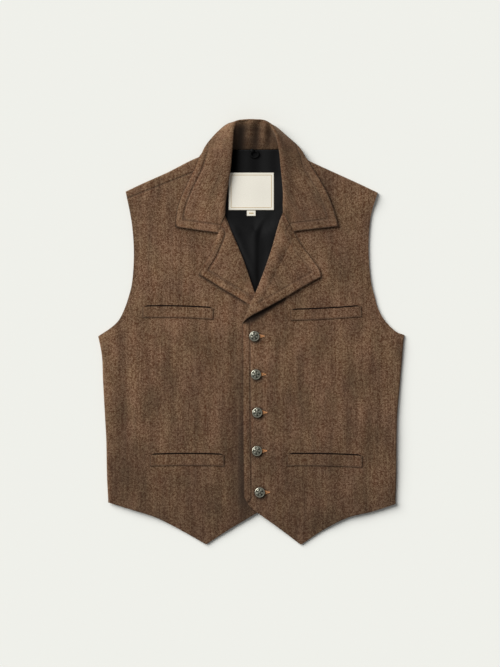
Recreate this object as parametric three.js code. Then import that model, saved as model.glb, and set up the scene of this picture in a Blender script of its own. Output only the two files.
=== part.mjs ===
import * as THREE from "three";

// A wool vest laid flat on its back, in millimetres. X runs across it, Y from hem to collar and
// Z up off the table. Right and left are the wearer's, so the right front has negative X.

// Cloth walls and the clearance left at every seam.
const WOOL = 2.0;
const BACK_WALL = 1.8;
const SATIN = 1.0;
const WELT_WALL = 1.3;
const LABEL_WALL = 1.0;
const SEAM_GAP = 0.3;
const LAY_GAP = 0.4;
const LAPEL_GAP = 0.6;

// Heights of the layers above the table.
const LINING_Z = BACK_WALL + SEAM_GAP;
const FRONT_TOP = 6.6;
const LAP_RISE = 2.4;
const EDGE_ROLL = FRONT_TOP - BACK_WALL - SEAM_GAP;
const POINT_DROP = FRONT_TOP - WOOL - 0.1;
const HEM_SLOPE_FROM = -300;
const HEM_SLOPE_LENGTH = 66;

// The left front laps over the right one between these two edges.
const LEFT_EDGE_X = -15.2;
const RIGHT_EDGE_X = 31;
const LAP_FADE = 46;
const BREAK_Y = 14;

// Buttons, 28 ligne, in one row down the lap.
const BUTTON_RADIUS = 9;
const BUTTON_HEIGHT = 4.6;
const SHANK_RADIUS = 2.4;
const SHANK_HEIGHT = 1.5;
const BUTTONS = [
  { name: "button_1", x: 6, y: -8.7 },
  { name: "button_2", x: 8.6, y: -75.5 },
  { name: "button_3", x: 10.9, y: -142 },
  { name: "button_4", x: 10.5, y: -209 },
  { name: "button_5", x: 15.4, y: -281.3 },
];

// Welt pockets: middle, length, height and turn in degrees.
const WELTS = [
  { name: "welt_chest_right", side: "right", x: -127.6, y: 32.8, length: 124, height: 22, turn: -1.3 },
  { name: "welt_chest_left", side: "left", x: 131, y: 32.3, length: 124.5, height: 21, turn: 3.1 },
  { name: "welt_waist_right", side: "right", x: -111.6, y: -225, length: 130, height: 22.5, turn: 0 },
  { name: "welt_waist_left", side: "left", x: 128.6, y: -225.5, length: 132, height: 23, turn: -1.2 },
];

// Side seams from hem to underarm.
const SIDE_RIGHT = [
  { x: -249.6, y: -299.2 },
  { x: -252.0, y: -253.3 },
  { x: -253.2, y: -190.3 },
  { x: -255.5, y: -148.3 },
  { x: -259.0, y: -85.3 },
  { x: -260.8, y: -43.3 },
  { x: -267.1, y: -8.8 },
];
const SIDE_LEFT = [
  { x: 252.7, y: -301.8 },
  { x: 254.5, y: -253.3 },
  { x: 254.8, y: -190.3 },
  { x: 256.0, y: -148.3 },
  { x: 261.3, y: -85.3 },
  { x: 264.8, y: -43.3 },
  { x: 267.9, y: -6.2 },
];

// Armholes from underarm to shoulder tip.
const ARMHOLE_RIGHT = [
  { x: -267.1, y: -8.8 },
  { x: -243.3, y: 7.4 },
  { x: -231.0, y: 19.7 },
  { x: -220.5, y: 40.7 },
  { x: -213.5, y: 61.7 },
  { x: -208.3, y: 82.7 },
  { x: -204.8, y: 135.2 },
  { x: -208.3, y: 187.7 },
  { x: -219.1, y: 244.4 },
];
const ARMHOLE_LEFT = [
  { x: 267.9, y: -6.2 },
  { x: 254.6, y: -1.3 },
  { x: 233.3, y: 19.7 },
  { x: 221.7, y: 40.7 },
  { x: 215.8, y: 61.7 },
  { x: 210.5, y: 82.7 },
  { x: 205.6, y: 138.0 },
  { x: 209.5, y: 200.8 },
  { x: 221.4, y: 242.6 },
];

// Shoulder seams from shoulder tip to neck point, which the collar covers.
const SHOULDER_RIGHT = [
  { x: -219.1, y: 244.4 },
  { x: -187.3, y: 259.4 },
  { x: -145.3, y: 278.2 },
  { x: -103.3, y: 299.7 },
  { x: -76.0, y: 310.5 },
  { x: -56.0, y: 317.0 },
];
const SHOULDER_LEFT = [
  { x: 221.4, y: 242.6 },
  { x: 190.8, y: 257.2 },
  { x: 148.8, y: 276.4 },
  { x: 106.8, y: 295.7 },
  { x: 84.0, y: 307.5 },
  { x: 68.0, y: 317.0 },
];

// Hems from side seam to point, then from point to front edge.
const HEM_OUTER_RIGHT = [
  { x: -249.6, y: -299.2 },
  { x: -208.3, y: -311.9 },
  { x: -166.3, y: -325.6 },
  { x: -124.3, y: -346.6 },
  { x: -78.4, y: -372.8 },
];
const HEM_INNER_RIGHT = [
  { x: -78.4, y: -372.8 },
  { x: -40.3, y: -347.8 },
  { x: 1.8, y: -322.4 },
  { x: 22.0, y: -309.0 },
  { x: RIGHT_EDGE_X, y: -292.0 },
];
const HEM_OUTER_LEFT = [
  { x: 252.7, y: -301.8 },
  { x: 211.8, y: -315.1 },
  { x: 169.8, y: -325.6 },
  { x: 127.8, y: -346.6 },
  { x: 87.2, y: -373.4 },
];
const HEM_INNER_LEFT = [
  { x: 87.2, y: -373.4 },
  { x: 43.8, y: -340.3 },
  { x: 11.4, y: -317.0 },
  { x: -3.0, y: -304.8 },
  { x: -12.4, y: -288.0 },
];
const BACK_HEM_Y = -295;
const BACK_NECK_Y = 320.4;
const NECK_RISE_RUN = 12;
const LINING_TOP_Y = 317.6;

// Front edges from hem to break, and roll lines from break to gorge.
const EDGE_RIGHT = [
  { x: RIGHT_EDGE_X, y: -292.0 },
  { x: RIGHT_EDGE_X, y: -140.0 },
  { x: RIGHT_EDGE_X, y: BREAK_Y },
];
const EDGE_LEFT = [
  { x: -12.4, y: -288.0 },
  { x: -14.4, y: -140.0 },
  { x: LEFT_EDGE_X, y: BREAK_Y },
];
const ROLL_RIGHT = [
  { x: RIGHT_EDGE_X, y: BREAK_Y },
  { x: 7.0, y: 67.5 },
  { x: -12.1, y: 122.8 },
  { x: -32.9, y: 171.8 },
  { x: -45.9, y: 204.0 },
];
const ROLL_LEFT = [
  { x: LEFT_EDGE_X, y: BREAK_Y },
  { x: -0.4, y: 48.4 },
  { x: 18.6, y: 94.8 },
  { x: 35.9, y: 144.1 },
  { x: 51.8, y: 197.8 },
  { x: 56.0, y: 208.0 },
];

// Neck edges of the fronts from gorge to neck point, under the collar.
const NECK_RIGHT = [
  { x: -45.9, y: 204.0 },
  { x: -55.5, y: 216.0 },
  { x: -60.0, y: 243.0 },
  { x: -60.5, y: 281.0 },
  { x: -56.0, y: 317.0 },
];
const NECK_LEFT = [
  { x: 56.0, y: 208.0 },
  { x: 66.5, y: 220.0 },
  { x: 71.0, y: 243.0 },
  { x: 72.5, y: 281.0 },
  { x: 68.0, y: 317.0 },
];

// Lapels: gorge and outer edge from roll line to tip, and the lower edge from tip to break.
const LAPEL_RIGHT = {
  gorge: { x: -46.8, y: 200.6 },
  notch: { x: -58.8, y: 169.2 },
  outer: [{ x: -76.0, y: 133.8 }, { x: -86.3, y: 116.5 }],
  tip: { x: -88.7, y: 98.5 },
  lower: [{ x: -67.4, y: 85.8 }, { x: -45.2, y: 71.7 }, { x: -9.6, y: 50.3 }],
  lift: 1.2,
  liftFrom: 76,
  edgeLift: 1.8,
  edgeLiftFrom: 0.4,
};
const LAPEL_LEFT = {
  gorge: { x: 57.0, y: 204.6 },
  notch: { x: 75.8, y: 172.2 },
  outer: [{ x: 89.6, y: 148.5 }, { x: 104.1, y: 129.6 }, { x: 120.0, y: 106.3 }],
  tip: { x: 122.4, y: 95.5 },
  lower: [{ x: 82.3, y: 72.9 }, { x: 53.4, y: 55.6 }, { x: 24.3, y: 39.6 }, { x: -4.7, y: 23.7 }],
  lift: 2.6,
  liftFrom: 10,
  edgeLift: 5.0,
  edgeLiftFrom: 0,
};

// Collar sections from the right gorge round the back neck to the left gorge. Seam is the neck
// seam, fold the top edge, bend where the fall turns or lies, and edge its outer edge.
const COLLAR = [
  { seamX: -47.2, seamY: 203.5, seamZ: 8.8, foldX: -45.6, foldY: 204.6, foldZ: 10,
    bendX: -57.9, bendY: 171.6, bendZ: 9.6, edgeX: -133.2, edgeY: 182, edgeZ: 10.6, fold: 1.4 },
  { seamX: -52.8, seamY: 222, seamZ: 6.4, foldX: -45.4, foldY: 221, foldZ: 10.2,
    bendX: -72, bendY: 202, bendZ: 10.4, edgeX: -129, edgeY: 215, edgeZ: 9.8, fold: 1.8 },
  { seamX: -54, seamY: 243, seamZ: 6, foldX: -42.6, foldY: 243, foldZ: 11.2,
    bendX: -78, bendY: 238, bendZ: 10.2, edgeX: -119, edgeY: 242.6, edgeZ: 9, fold: 2.1 },
  { seamX: -55, seamY: 281, seamZ: 6, foldX: -36.6, foldY: 281, foldZ: 13.6,
    bendX: -76, bendY: 279, bendZ: 10.6, edgeX: -100.5, edgeY: 281, edgeZ: 8.8, fold: 2.3 },
  { seamX: -51.5, seamY: 308, seamZ: 5.6, foldX: -33.8, foldY: 312, foldZ: 17.2,
    bendX: -84, bendY: 311, bendZ: 9.5, edgeX: -88.4, edgeY: 306.6, edgeZ: 8, fold: 2.3 },
  { seamX: -47.5, seamY: 317.5, seamZ: 4.9, foldX: -32.6, foldY: 326, foldZ: 19.6,
    bendX: -80.8, bendY: 320, bendZ: 6.4, edgeX: -79.5, edgeY: 312.8, edgeZ: 3, fold: 2.3 },
  { seamX: -43, seamY: 319.6, seamZ: 4, foldX: -31.6, foldY: 339, foldZ: 22,
    bendX: -73.4, bendY: 331.2, bendZ: 4.8, edgeX: -62, edgeY: 321.5, edgeZ: 1.4, fold: 2.3 },
  { seamX: -36, seamY: 318.8, seamZ: 3.6, foldX: -30, foldY: 355, foldZ: 24,
    bendX: -57.4, bendY: 348.8, bendZ: 5, edgeX: -46, edgeY: 327, edgeZ: 1.3, fold: 2.2 },
  { seamX: -25, seamY: 318.6, seamZ: 3.4, foldX: -25, foldY: 365, foldZ: 24.8,
    bendX: -38.6, bendY: 362.6, bendZ: 8, edgeX: -30, edgeY: 328, edgeZ: 1.3, fold: 2 },
  { seamX: -10, seamY: 318.6, seamZ: 3.4, foldX: -10.5, foldY: 367.8, foldZ: 25.2,
    bendX: -12, bendY: 365, bendZ: 17, edgeX: -11, edgeY: 328, edgeZ: 1.3, fold: 1.9 },
  { seamX: 7, seamY: 318.6, seamZ: 3.4, foldX: 6, foldY: 368, foldZ: 25.2,
    bendX: 6, bendY: 365.4, bendZ: 17.5, edgeX: 7, edgeY: 328, edgeZ: 1.3, fold: 1.9 },
  { seamX: 24, seamY: 318.6, seamZ: 3.4, foldX: 23.5, foldY: 366.4, foldZ: 25.2,
    bendX: 25, bendY: 363.6, bendZ: 16.5, edgeX: 24, edgeY: 328, edgeZ: 1.3, fold: 1.9 },
  { seamX: 38, seamY: 318.8, seamZ: 3.4, foldX: 33.2, foldY: 360.6, foldZ: 24.8,
    bendX: 42, bendY: 357.6, bendZ: 8, edgeX: 40, edgeY: 328, edgeZ: 1.3, fold: 2 },
  { seamX: 49, seamY: 319.2, seamZ: 3.6, foldX: 42, foldY: 346, foldZ: 24,
    bendX: 61.4, bendY: 341.6, bendZ: 4.8, edgeX: 55, edgeY: 327, edgeZ: 1.3, fold: 2.2 },
  { seamX: 56, seamY: 319.6, seamZ: 4, foldX: 46.8, foldY: 329, foldZ: 22,
    bendX: 79.2, bendY: 326, bendZ: 4.8, edgeX: 69, edgeY: 320, edgeZ: 1.4, fold: 2.3 },
  { seamX: 60.5, seamY: 317.5, seamZ: 4.9, foldX: 49.4, foldY: 316, foldZ: 19.6,
    bendX: 87.6, bendY: 316, bendZ: 6.4, edgeX: 85.8, edgeY: 308.9, edgeZ: 3, fold: 2.3 },
  { seamX: 64.5, seamY: 306, seamZ: 5.6, foldX: 51, foldY: 303, foldZ: 17.2,
    bendX: 92, bendY: 307, bendZ: 9.5, edgeX: 97.6, edgeY: 300.2, edgeZ: 8, fold: 2.3 },
  { seamX: 67, seamY: 281, seamZ: 6, foldX: 53.4, foldY: 278, foldZ: 13.6,
    bendX: 88, bendY: 277, bendZ: 10.6, edgeX: 110, edgeY: 281, edgeZ: 8.8, fold: 2.3 },
  { seamX: 64.5, seamY: 243, seamZ: 6, foldX: 56.6, foldY: 243, foldZ: 11.2,
    bendX: 92, bendY: 238, bendZ: 10.2, edgeX: 132, edgeY: 243.6, edgeZ: 9, fold: 2.1 },
  { seamX: 62, seamY: 225, seamZ: 6.4, foldX: 56.4, foldY: 223, foldZ: 10.2,
    bendX: 88, bendY: 204, bendZ: 10.4, edgeX: 143, edgeY: 217, edgeZ: 9.8, fold: 1.8 },
  { seamX: 57.9, seamY: 208.6, seamZ: 8.8, foldX: 56.2, foldY: 209.4, foldZ: 10,
    bendX: 74.9, bendY: 174.4, bendZ: 9.6, edgeX: 153, edgeY: 183.4, edgeZ: 10.6, fold: 1.4 },
];

// Upright creases of the stand behind the neck: middle, half width and rise.
const STAND_CREASES = [
  { x: -25, wide: 7, rise: -1.8 },
  { x: -9, wide: 8, rise: 1.6 },
  { x: 9, wide: 7, rise: -1.8 },
  { x: 22, wide: 6, rise: 1.5 },
];

// Largest soft folds of the fronts: middle, half length along Y, half width along X and rise.
const FOLDS = [
  { x: -224, y: -150, long: 74, wide: 11, rise: -1.7 },
  { x: -203, y: -120, long: 110, wide: 12, rise: 0.7 },
  { x: -25, y: -245, long: 66, wide: 12, rise: -2.4 },
  { x: -26, y: -80, long: 100, wide: 11, rise: -1.6 },
  { x: -50, y: -150, long: 150, wide: 15, rise: 1.0 },
  { x: -150, y: -150, long: 60, wide: 26, rise: -0.6 },
  { x: -120, y: -60, long: 60, wide: 40, rise: 0.5 },
  { x: 94, y: -120, long: 60, wide: 14, rise: -0.8 },
  { x: 150, y: -90, long: 90, wide: 20, rise: 0.5 },
  { x: 187, y: 0, long: 40, wide: 12, rise: -0.9 },
  { x: 205, y: -60, long: 90, wide: 14, rise: 0.6 },
  { x: 232, y: -170, long: 80, wide: 12, rise: -0.7 },
  { x: -165, y: 120, long: 50, wide: 24, rise: 0.5 },
  { x: 165, y: 130, long: 60, wide: 22, rise: -0.5 },
];

// Lining panel where it shows in the neck opening, with a hidden margin.
const LINING = [
  { x: -42, y: LINING_TOP_Y },
  { x: -60, y: 280 },
  { x: -64, y: 200 },
  { x: -44, y: 120 },
  { x: -16, y: 50 },
  { x: 4, y: 34 },
  { x: 22, y: 50 },
  { x: 52, y: 120 },
  { x: 76, y: 200 },
  { x: 72, y: 280 },
  { x: 54, y: LINING_TOP_Y },
];

// Label, tab and hanger loop on the lining.
const LABEL = { x: 0.5, y: 244.6, width: 79, height: 65.4 };
const TAB = { x: 0.4, y: 206.4, width: 15.5, height: 9.6 };
const LOOP = { x: 6.4, y: 309.2, radiusX: 8.4, radiusY: 7.2, cord: 2.1, strand: 3.3 };

const FRONT_COLUMNS = [0, 0.0014, 0.0045, 0.009, 0.017, 0.045];
const FRONT_COLUMN_COUNT = 15;
const FRONT_ROWS_SIDE = 17;
const FRONT_ROWS_ARM = 15;
const FRONT_ROWS_SHOULDER = [0.984, 0.9915, 0.996, 0.9986, 1];
const LAPEL_COLUMNS = 9;
const LAPEL_ROWS = 12;
const COLLAR_STATIONS = 46;

function material(color, roughness, metalness) {
  return new THREE.MeshStandardMaterial({ color, roughness, metalness });
}

const WOOL_BROWN = material(0x65503f, 0.92, 0);
const SATIN_BLACK = material(0x1b1b1c, 0.45, 0);
const PEWTER = material(0x8d8a80, 0.38, 0.9);
const LABEL_CREAM = material(0xe6e3d6, 0.75, 0);
const LOOP_BLACK = material(0x161616, 0.6, 0);

function clamp01(value) {
  return Math.min(1, Math.max(0, value));
}

function smoothstep(value) {
  const t = clamp01(value);
  return t * t * (3 - 2 * t);
}

function lerp(a, b, t) {
  return a + (b - a) * t;
}

// A smooth curve through the rows of an edge table, read by its share of the length.
function edge(rows) {
  const points = rows.map((row) => new THREE.Vector3(row.x, row.y, 0));
  const curve = new THREE.CatmullRomCurve3(points, false, "centripetal");
  return (t) => curve.getPointAt(clamp01(t));
}

// Two edges end to end, the first ending at the share `at`.
function chain(first, second, at) {
  return (t) => (t <= at ? first(t / at) : second((t - at) / (1 - at)));
}

// A patch between four edges that share their corners.
function patch(bottom, top, left, right) {
  return (u, v) => {
    const point = new THREE.Vector3();
    point.addScaledVector(bottom(u), 1 - v).addScaledVector(top(u), v);
    point.addScaledVector(left(v), 1 - u).addScaledVector(right(v), u);
    point.addScaledVector(bottom(0), -(1 - u) * (1 - v)).addScaledVector(bottom(1), -u * (1 - v));
    point.addScaledVector(top(0), -(1 - u) * v).addScaledVector(top(1), -u * v);
    return point;
  };
}

// Rise of the fronts' soft folds.
function foldRise(x, y) {
  let rise = 0;
  for (const fold of FOLDS) {
    const across = (x - fold.x) / fold.wide;
    const along = (y - fold.y) / fold.long;
    rise += fold.rise * Math.exp(-across * across - along * along);
  }
  return rise;
}

// Folds fade out in the lap, where the two fronts lie on each other.
function lapShare(x) {
  return 1 - smoothstep((x - RIGHT_EDGE_X - 4) / LAP_FADE);
}

function calmShare(x) {
  return smoothstep((Math.abs(x - 8) - 24) / 12);
}

// The left front also rides over the hidden end of the right lapel.
function lapelBump(x, y) {
  const from = new THREE.Vector2(-6, 60);
  const to = new THREE.Vector2(RIGHT_EDGE_X, BREAK_Y);
  const span = to.clone().sub(from);
  const t = clamp01(new THREE.Vector2(x, y).sub(from).dot(span) / span.lengthSq());
  const distance = Math.hypot(x - from.x - span.x * t, y - from.y - span.y * t);
  return (WOOL + LAPEL_GAP + 0.3) * (1 - smoothstep((distance - 20) / 42));
}

// Top of a front at a point away from its rolled edges.
function frontTop(side, x, y) {
  const drop = POINT_DROP * smoothstep((HEM_SLOPE_FROM - y) / HEM_SLOPE_LENGTH);
  let z = FRONT_TOP + foldRise(x, y) * calmShare(x) - drop;
  if (side === "left") {
    z += LAP_RISE * lapShare(x) + lapelBump(x, y);
  }
  return z;
}

// How far a rolled edge has gone down at a distance from it.
function rollDrop(distance, radius) {
  const inside = radius - Math.min(distance, radius);
  return radius - Math.sqrt(Math.max(0, radius * radius - inside * inside));
}

function spaced(count, from, to) {
  return Array.from({ length: count }, (_, i) => lerp(from, to, (i + 1) / count));
}

// Closed wall from a grid of points: one skin `above` the grid along its normals, the other
// `below` it but never under `floor`, and a rim all round.
function wall(grid, above, below, floor = () => 0) {
  const rows = grid.length;
  const columns = grid[0].length;
  const at = (i, j) => grid[Math.min(rows - 1, Math.max(0, i))][Math.min(columns - 1, Math.max(0, j))];
  const normals = grid.map((row, i) => row.map((_, j) => {
    const along = at(i + 1, j).clone().sub(at(i - 1, j));
    const across = at(i, j + 1).clone().sub(at(i, j - 1));
    return across.cross(along).normalize();
  }));
  const flip = normals.flat().reduce((sum, normal) => sum + normal.z, 0) < 0 ? -1 : 1;
  const positions = [];
  for (const offset of [above, -below]) {
    for (let i = 0; i < rows; i += 1) {
      for (let j = 0; j < columns; j += 1) {
        const point = grid[i][j].clone().addScaledVector(normals[i][j], offset * flip);
        positions.push(point.x, point.y, Math.max(point.z, floor(point)));
      }
    }
  }
  const index = [];
  const quad = (a, b, c, d) => {
    if (flip > 0) {
      index.push(a, b, c, a, c, d);
    } else {
      index.push(a, c, b, a, d, c);
    }
  };
  const top = (i, j) => i * columns + j;
  const under = (i, j) => rows * columns + i * columns + j;
  for (let i = 0; i < rows - 1; i += 1) {
    for (let j = 0; j < columns - 1; j += 1) {
      quad(top(i, j), top(i, j + 1), top(i + 1, j + 1), top(i + 1, j));
      quad(under(i, j), under(i + 1, j), under(i + 1, j + 1), under(i, j + 1));
    }
  }
  for (let j = 0; j < columns - 1; j += 1) {
    const last = rows - 1;
    quad(under(0, j), under(0, j + 1), top(0, j + 1), top(0, j));
    quad(top(last, j), top(last, j + 1), under(last, j + 1), under(last, j));
  }
  for (let i = 0; i < rows - 1; i += 1) {
    const last = columns - 1;
    quad(top(i, 0), top(i + 1, 0), under(i + 1, 0), under(i, 0));
    quad(under(i, last), under(i + 1, last), top(i + 1, last), top(i, last));
  }
  const geometry = new THREE.BufferGeometry();
  geometry.setAttribute("position", new THREE.Float32BufferAttribute(positions, 3));
  geometry.setIndex(index);
  geometry.computeVertexNormals();
  return geometry;
}

// Flat panel cut to an outline, lying between two heights.
function panel(outline, z, thickness) {
  const shape = new THREE.Shape(outline.map((point) => new THREE.Vector2(point.x, point.y)));
  const geometry = new THREE.ExtrudeGeometry(shape, { depth: thickness, bevelEnabled: false });
  geometry.translate(0, 0, z);
  return geometry;
}

function sampled(curve, count) {
  return Array.from({ length: count }, (_, i) => curve(i / count));
}

const sideShare = 0.53;
const CUT = {
  right: {
    outer: chain(edge(SIDE_RIGHT), edge(ARMHOLE_RIGHT), sideShare),
    shoulder: edge(SHOULDER_RIGHT),
    hem: chain(edge(HEM_OUTER_RIGHT), edge(HEM_INNER_RIGHT), 0.62),
    inner: chain(chain(edge(EDGE_RIGHT), edge(ROLL_RIGHT), 0.62), edge(NECK_RIGHT), 0.82),
  },
  left: {
    outer: chain(edge(SIDE_LEFT), edge(ARMHOLE_LEFT), sideShare),
    shoulder: edge(SHOULDER_LEFT),
    hem: chain(edge(HEM_OUTER_LEFT), edge(HEM_INNER_LEFT), 0.62),
    inner: chain(chain(edge(EDGE_LEFT), edge(ROLL_LEFT), 0.62), edge(NECK_LEFT), 0.82),
  },
};

// A front: a patch from side seam to front edge, its side and shoulder rolled down on the back.
function front(side) {
  const cut = CUT[side];
  const shape = patch(cut.hem, cut.shoulder, cut.outer, cut.inner);
  const columns = [...FRONT_COLUMNS, ...spaced(FRONT_COLUMN_COUNT, FRONT_COLUMNS.at(-1), 1)];
  const rows = [
    0,
    ...spaced(FRONT_ROWS_SIDE, 0, sideShare),
    ...spaced(FRONT_ROWS_ARM, sideShare, FRONT_ROWS_SHOULDER[0]),
    ...FRONT_ROWS_SHOULDER.slice(1),
  ];
  const grid = rows.map((v) => columns.map((u) => {
    const point = shape(u, v);
    const sideRoll = rollDrop(point.distanceTo(cut.outer(v)), EDGE_ROLL);
    const sideWeight = 1 - smoothstep((v - sideShare + 0.03) / 0.03);
    const shoulderRoll = rollDrop(point.distanceTo(cut.shoulder(u)) * 0.9, EDGE_ROLL);
    const shoulderWeight = 1 - smoothstep((u - 0.8) / 0.15);
    const flat = frontTop(side, point.x, point.y);
    const depth = (flat - BACK_WALL - SEAM_GAP) / EDGE_ROLL;
    const hemWeight = smoothstep((point.y - HEM_SLOPE_FROM) / 8);
    const drop = Math.max(sideRoll * sideWeight * hemWeight, shoulderRoll * shoulderWeight);
    point.z = flat - drop * depth;
    return point;
  }));
  return wall(grid, 0, WOOL, (point) => (point.y > BACK_HEM_Y - 1 ? LINING_Z : 0));
}

// A lapel lies on its front and rises in a soft roll beside the roll line.
function lapel(side) {
  const table = side === "right" ? LAPEL_RIGHT : LAPEL_LEFT;
  const roll = side === "right" ? ROLL_RIGHT : ROLL_LEFT;
  const inner = edge([...roll.slice(0, -1), table.gorge]);
  const outer = edge([table.tip, ...[...table.outer].reverse(), table.notch]);
  const lower = edge([roll[0], ...[...table.lower].reverse(), table.tip]);
  const gorge = edge([table.gorge, table.notch]);
  const shape = patch(lower, gorge, inner, outer);
  const grid = [];
  for (let i = 0; i <= LAPEL_ROWS; i += 1) {
    const v = i / LAPEL_ROWS;
    const row = [];
    for (let j = 0; j <= LAPEL_COLUMNS; j += 1) {
      const u = (j / LAPEL_COLUMNS) ** 1.5;
      const point = shape(u, v);
      const inFromRoll = point.distanceTo(inner(v));
      const hump = Math.sin(Math.PI * clamp01(inFromRoll / 30));
      const lift = table.lift * hump * smoothstep((point.y - table.liftFrom) / 40);
      const along = smoothstep((u - table.edgeLiftFrom) / 0.25);
      const easing = 1 - 0.6 * smoothstep((u - 0.2) / 0.8);
      const edgeLift = table.edgeLift * along * easing * (1 - smoothstep(v / 0.6));
      point.z = frontTop(side, point.x, point.y) + LAPEL_GAP + WOOL + lift + edgeLift;
      row.push(point);
    }
    grid.push(row);
  }
  return wall(grid, 0, WOOL);
}

// One collar section: up the stand, over the fold and down the fall, as a line of points.
function collarSection(row) {
  const seam = new THREE.Vector3(row.seamX, row.seamY, row.seamZ);
  const fold = new THREE.Vector3(row.foldX, row.foldY, row.foldZ);
  const bend = new THREE.Vector3(row.bendX, row.bendY, row.bendZ);
  const rim = new THREE.Vector3(row.edgeX, row.edgeY, row.edgeZ);
  const points = [
    seam,
    seam.clone().lerp(fold, 0.45),
    seam.clone().lerp(fold, 0.86),
    fold,
    fold.clone().lerp(bend, 0.14),
    fold.clone().lerp(bend, 0.55),
    fold.clone().lerp(bend, 0.94),
    bend,
    bend.clone().lerp(rim, 0.08),
    bend.clone().lerp(rim, 0.5),
    rim,
  ];
  for (const crease of STAND_CREASES) {
    const rise = crease.rise * Math.exp(-(((row.foldX - crease.x) / crease.wide) ** 2));
    points[1].z += rise * 0.6;
    points[2].z += rise;
  }
  points[2].z += row.fold * 0.3;
  points[4].z += row.fold;
  const curve = new THREE.CatmullRomCurve3(points, false, "centripetal");
  const steps = [0, 1, 2, 2.5, 3, 3.5, 4, 5, 6, 6.5, 7, 7.5, 8, 9, 10];
  return steps.map((step) => curve.getPoint(step / (points.length - 1)));
}

function collar() {
  const columns = COLLAR.map((row) => collarSection(row));
  const lines = columns[0].map((_, j) => new THREE.CatmullRomCurve3(
    columns.map((section) => section[j]), false, "centripetal"));
  const grid = [];
  for (let i = 0; i <= COLLAR_STATIONS; i += 1) {
    grid.push(lines.map((line) => line.getPoint(i / COLLAR_STATIONS)));
  }
  return wall(grid, WOOL / 2, WOOL / 2);
}

// A plate laid on a front, its points taken from the front's top and moved out.
function welt(table) {
  const turn = THREE.MathUtils.degToRad(table.turn);
  const grid = [];
  for (let i = 0; i <= 3; i += 1) {
    const row = [];
    for (let j = 0; j <= 11; j += 1) {
      const along = (j / 11 - 0.5) * table.length;
      const across = (i / 3 - 0.5) * table.height;
      const x = table.x + along * Math.cos(turn) - across * Math.sin(turn);
      const y = table.y + along * Math.sin(turn) + across * Math.cos(turn);
      row.push(new THREE.Vector3(x, y, frontTop(table.side, x, y) + LAY_GAP + WELT_WALL));
    }
    grid.push(row);
  }
  return wall(grid, 0, WELT_WALL);
}

function rectangle(table) {
  const left = table.x - table.width / 2;
  const right = table.x + table.width / 2;
  const low = table.y - table.height / 2;
  const high = table.y + table.height / 2;
  return [
    { x: left, y: low },
    { x: right, y: low },
    { x: right, y: high },
    { x: left, y: high },
  ];
}

// Domed button with a raised rim on a short shank, turned about Z.
function button() {
  const profile = [
    { radius: 0, z: 0 },
    { radius: SHANK_RADIUS, z: 0 },
    { radius: SHANK_RADIUS, z: SHANK_HEIGHT },
    { radius: BUTTON_RADIUS * 0.8, z: SHANK_HEIGHT + 0.1 },
    { radius: BUTTON_RADIUS, z: SHANK_HEIGHT + 1.0 },
    { radius: BUTTON_RADIUS, z: SHANK_HEIGHT + 1.9 },
    { radius: BUTTON_RADIUS * 0.86, z: SHANK_HEIGHT + 2.3 },
    { radius: BUTTON_RADIUS * 0.5, z: BUTTON_HEIGHT - 0.2 },
    { radius: 0, z: BUTTON_HEIGHT },
  ];
  const points = profile.map((row) => new THREE.Vector2(row.radius, row.z));
  const geometry = new THREE.LatheGeometry(points, 20);
  geometry.rotateX(Math.PI / 2);
  return geometry;
}

// Flat oval loop of cord lying on the lining below the neck seam.
function hangerLoop() {
  const ring = new THREE.Shape();
  ring.absellipse(0, 0, LOOP.radiusX, LOOP.radiusY, 0, Math.PI * 2);
  const bore = new THREE.Path();
  bore.absellipse(0, 0, LOOP.radiusX - LOOP.strand, LOOP.radiusY - LOOP.strand, 0, Math.PI * 2);
  ring.holes.push(bore);
  const geometry = new THREE.ExtrudeGeometry(ring, {
    depth: LOOP.cord,
    bevelEnabled: false,
    curveSegments: 14,
  });
  geometry.translate(LOOP.x, LOOP.y, LINING_Z + SATIN + SEAM_GAP);
  return geometry;
}

const vest = new THREE.Group();
vest.name = "wool_vest";

function add(name, geometry, surface) {
  const mesh = new THREE.Mesh(geometry, surface);
  mesh.name = name;
  vest.add(mesh);
  return mesh;
}

const backRight = sampled(CUT.right.outer, 36);
const backLeft = sampled(CUT.left.outer, 36).reverse();
const backOutline = [
  { x: SIDE_RIGHT[0].x, y: BACK_HEM_Y },
  ...backRight.filter((point) => point.y > BACK_HEM_Y + 2),
  ...sampled(CUT.right.shoulder, 8),
  { x: SHOULDER_RIGHT.at(-1).x + NECK_RISE_RUN, y: BACK_NECK_Y },
  { x: SHOULDER_LEFT.at(-1).x - NECK_RISE_RUN, y: BACK_NECK_Y },
  ...sampled(CUT.left.shoulder, 8).reverse(),
  ...backLeft.filter((point) => point.y > BACK_HEM_Y + 2),
  { x: SIDE_LEFT[0].x, y: BACK_HEM_Y },
];
add("back", panel(backOutline, 0, BACK_WALL), WOOL_BROWN);
add("back_lining", panel(LINING, LINING_Z, SATIN), SATIN_BLACK);
add("front_right", front("right"), WOOL_BROWN);
add("front_left", front("left"), WOOL_BROWN);
add("lapel_right", lapel("right"), WOOL_BROWN);
add("lapel_left", lapel("left"), WOOL_BROWN);
add("collar", collar(), WOOL_BROWN);
for (const table of WELTS) {
  add(table.name, welt(table), WOOL_BROWN);
}
for (const table of BUTTONS) {
  const mesh = add(table.name, button(), PEWTER);
  mesh.position.set(table.x, table.y, frontTop("left", table.x, table.y) + SEAM_GAP);
}
const labelZ = LINING_Z + SATIN + SEAM_GAP;
add("neck_label", panel(rectangle(LABEL), labelZ, LABEL_WALL), LABEL_CREAM);
add("size_tab", panel(rectangle(TAB), labelZ, LABEL_WALL), LABEL_CREAM);
add("hanger_loop", hangerLoop(), LOOP_BLACK);

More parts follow.
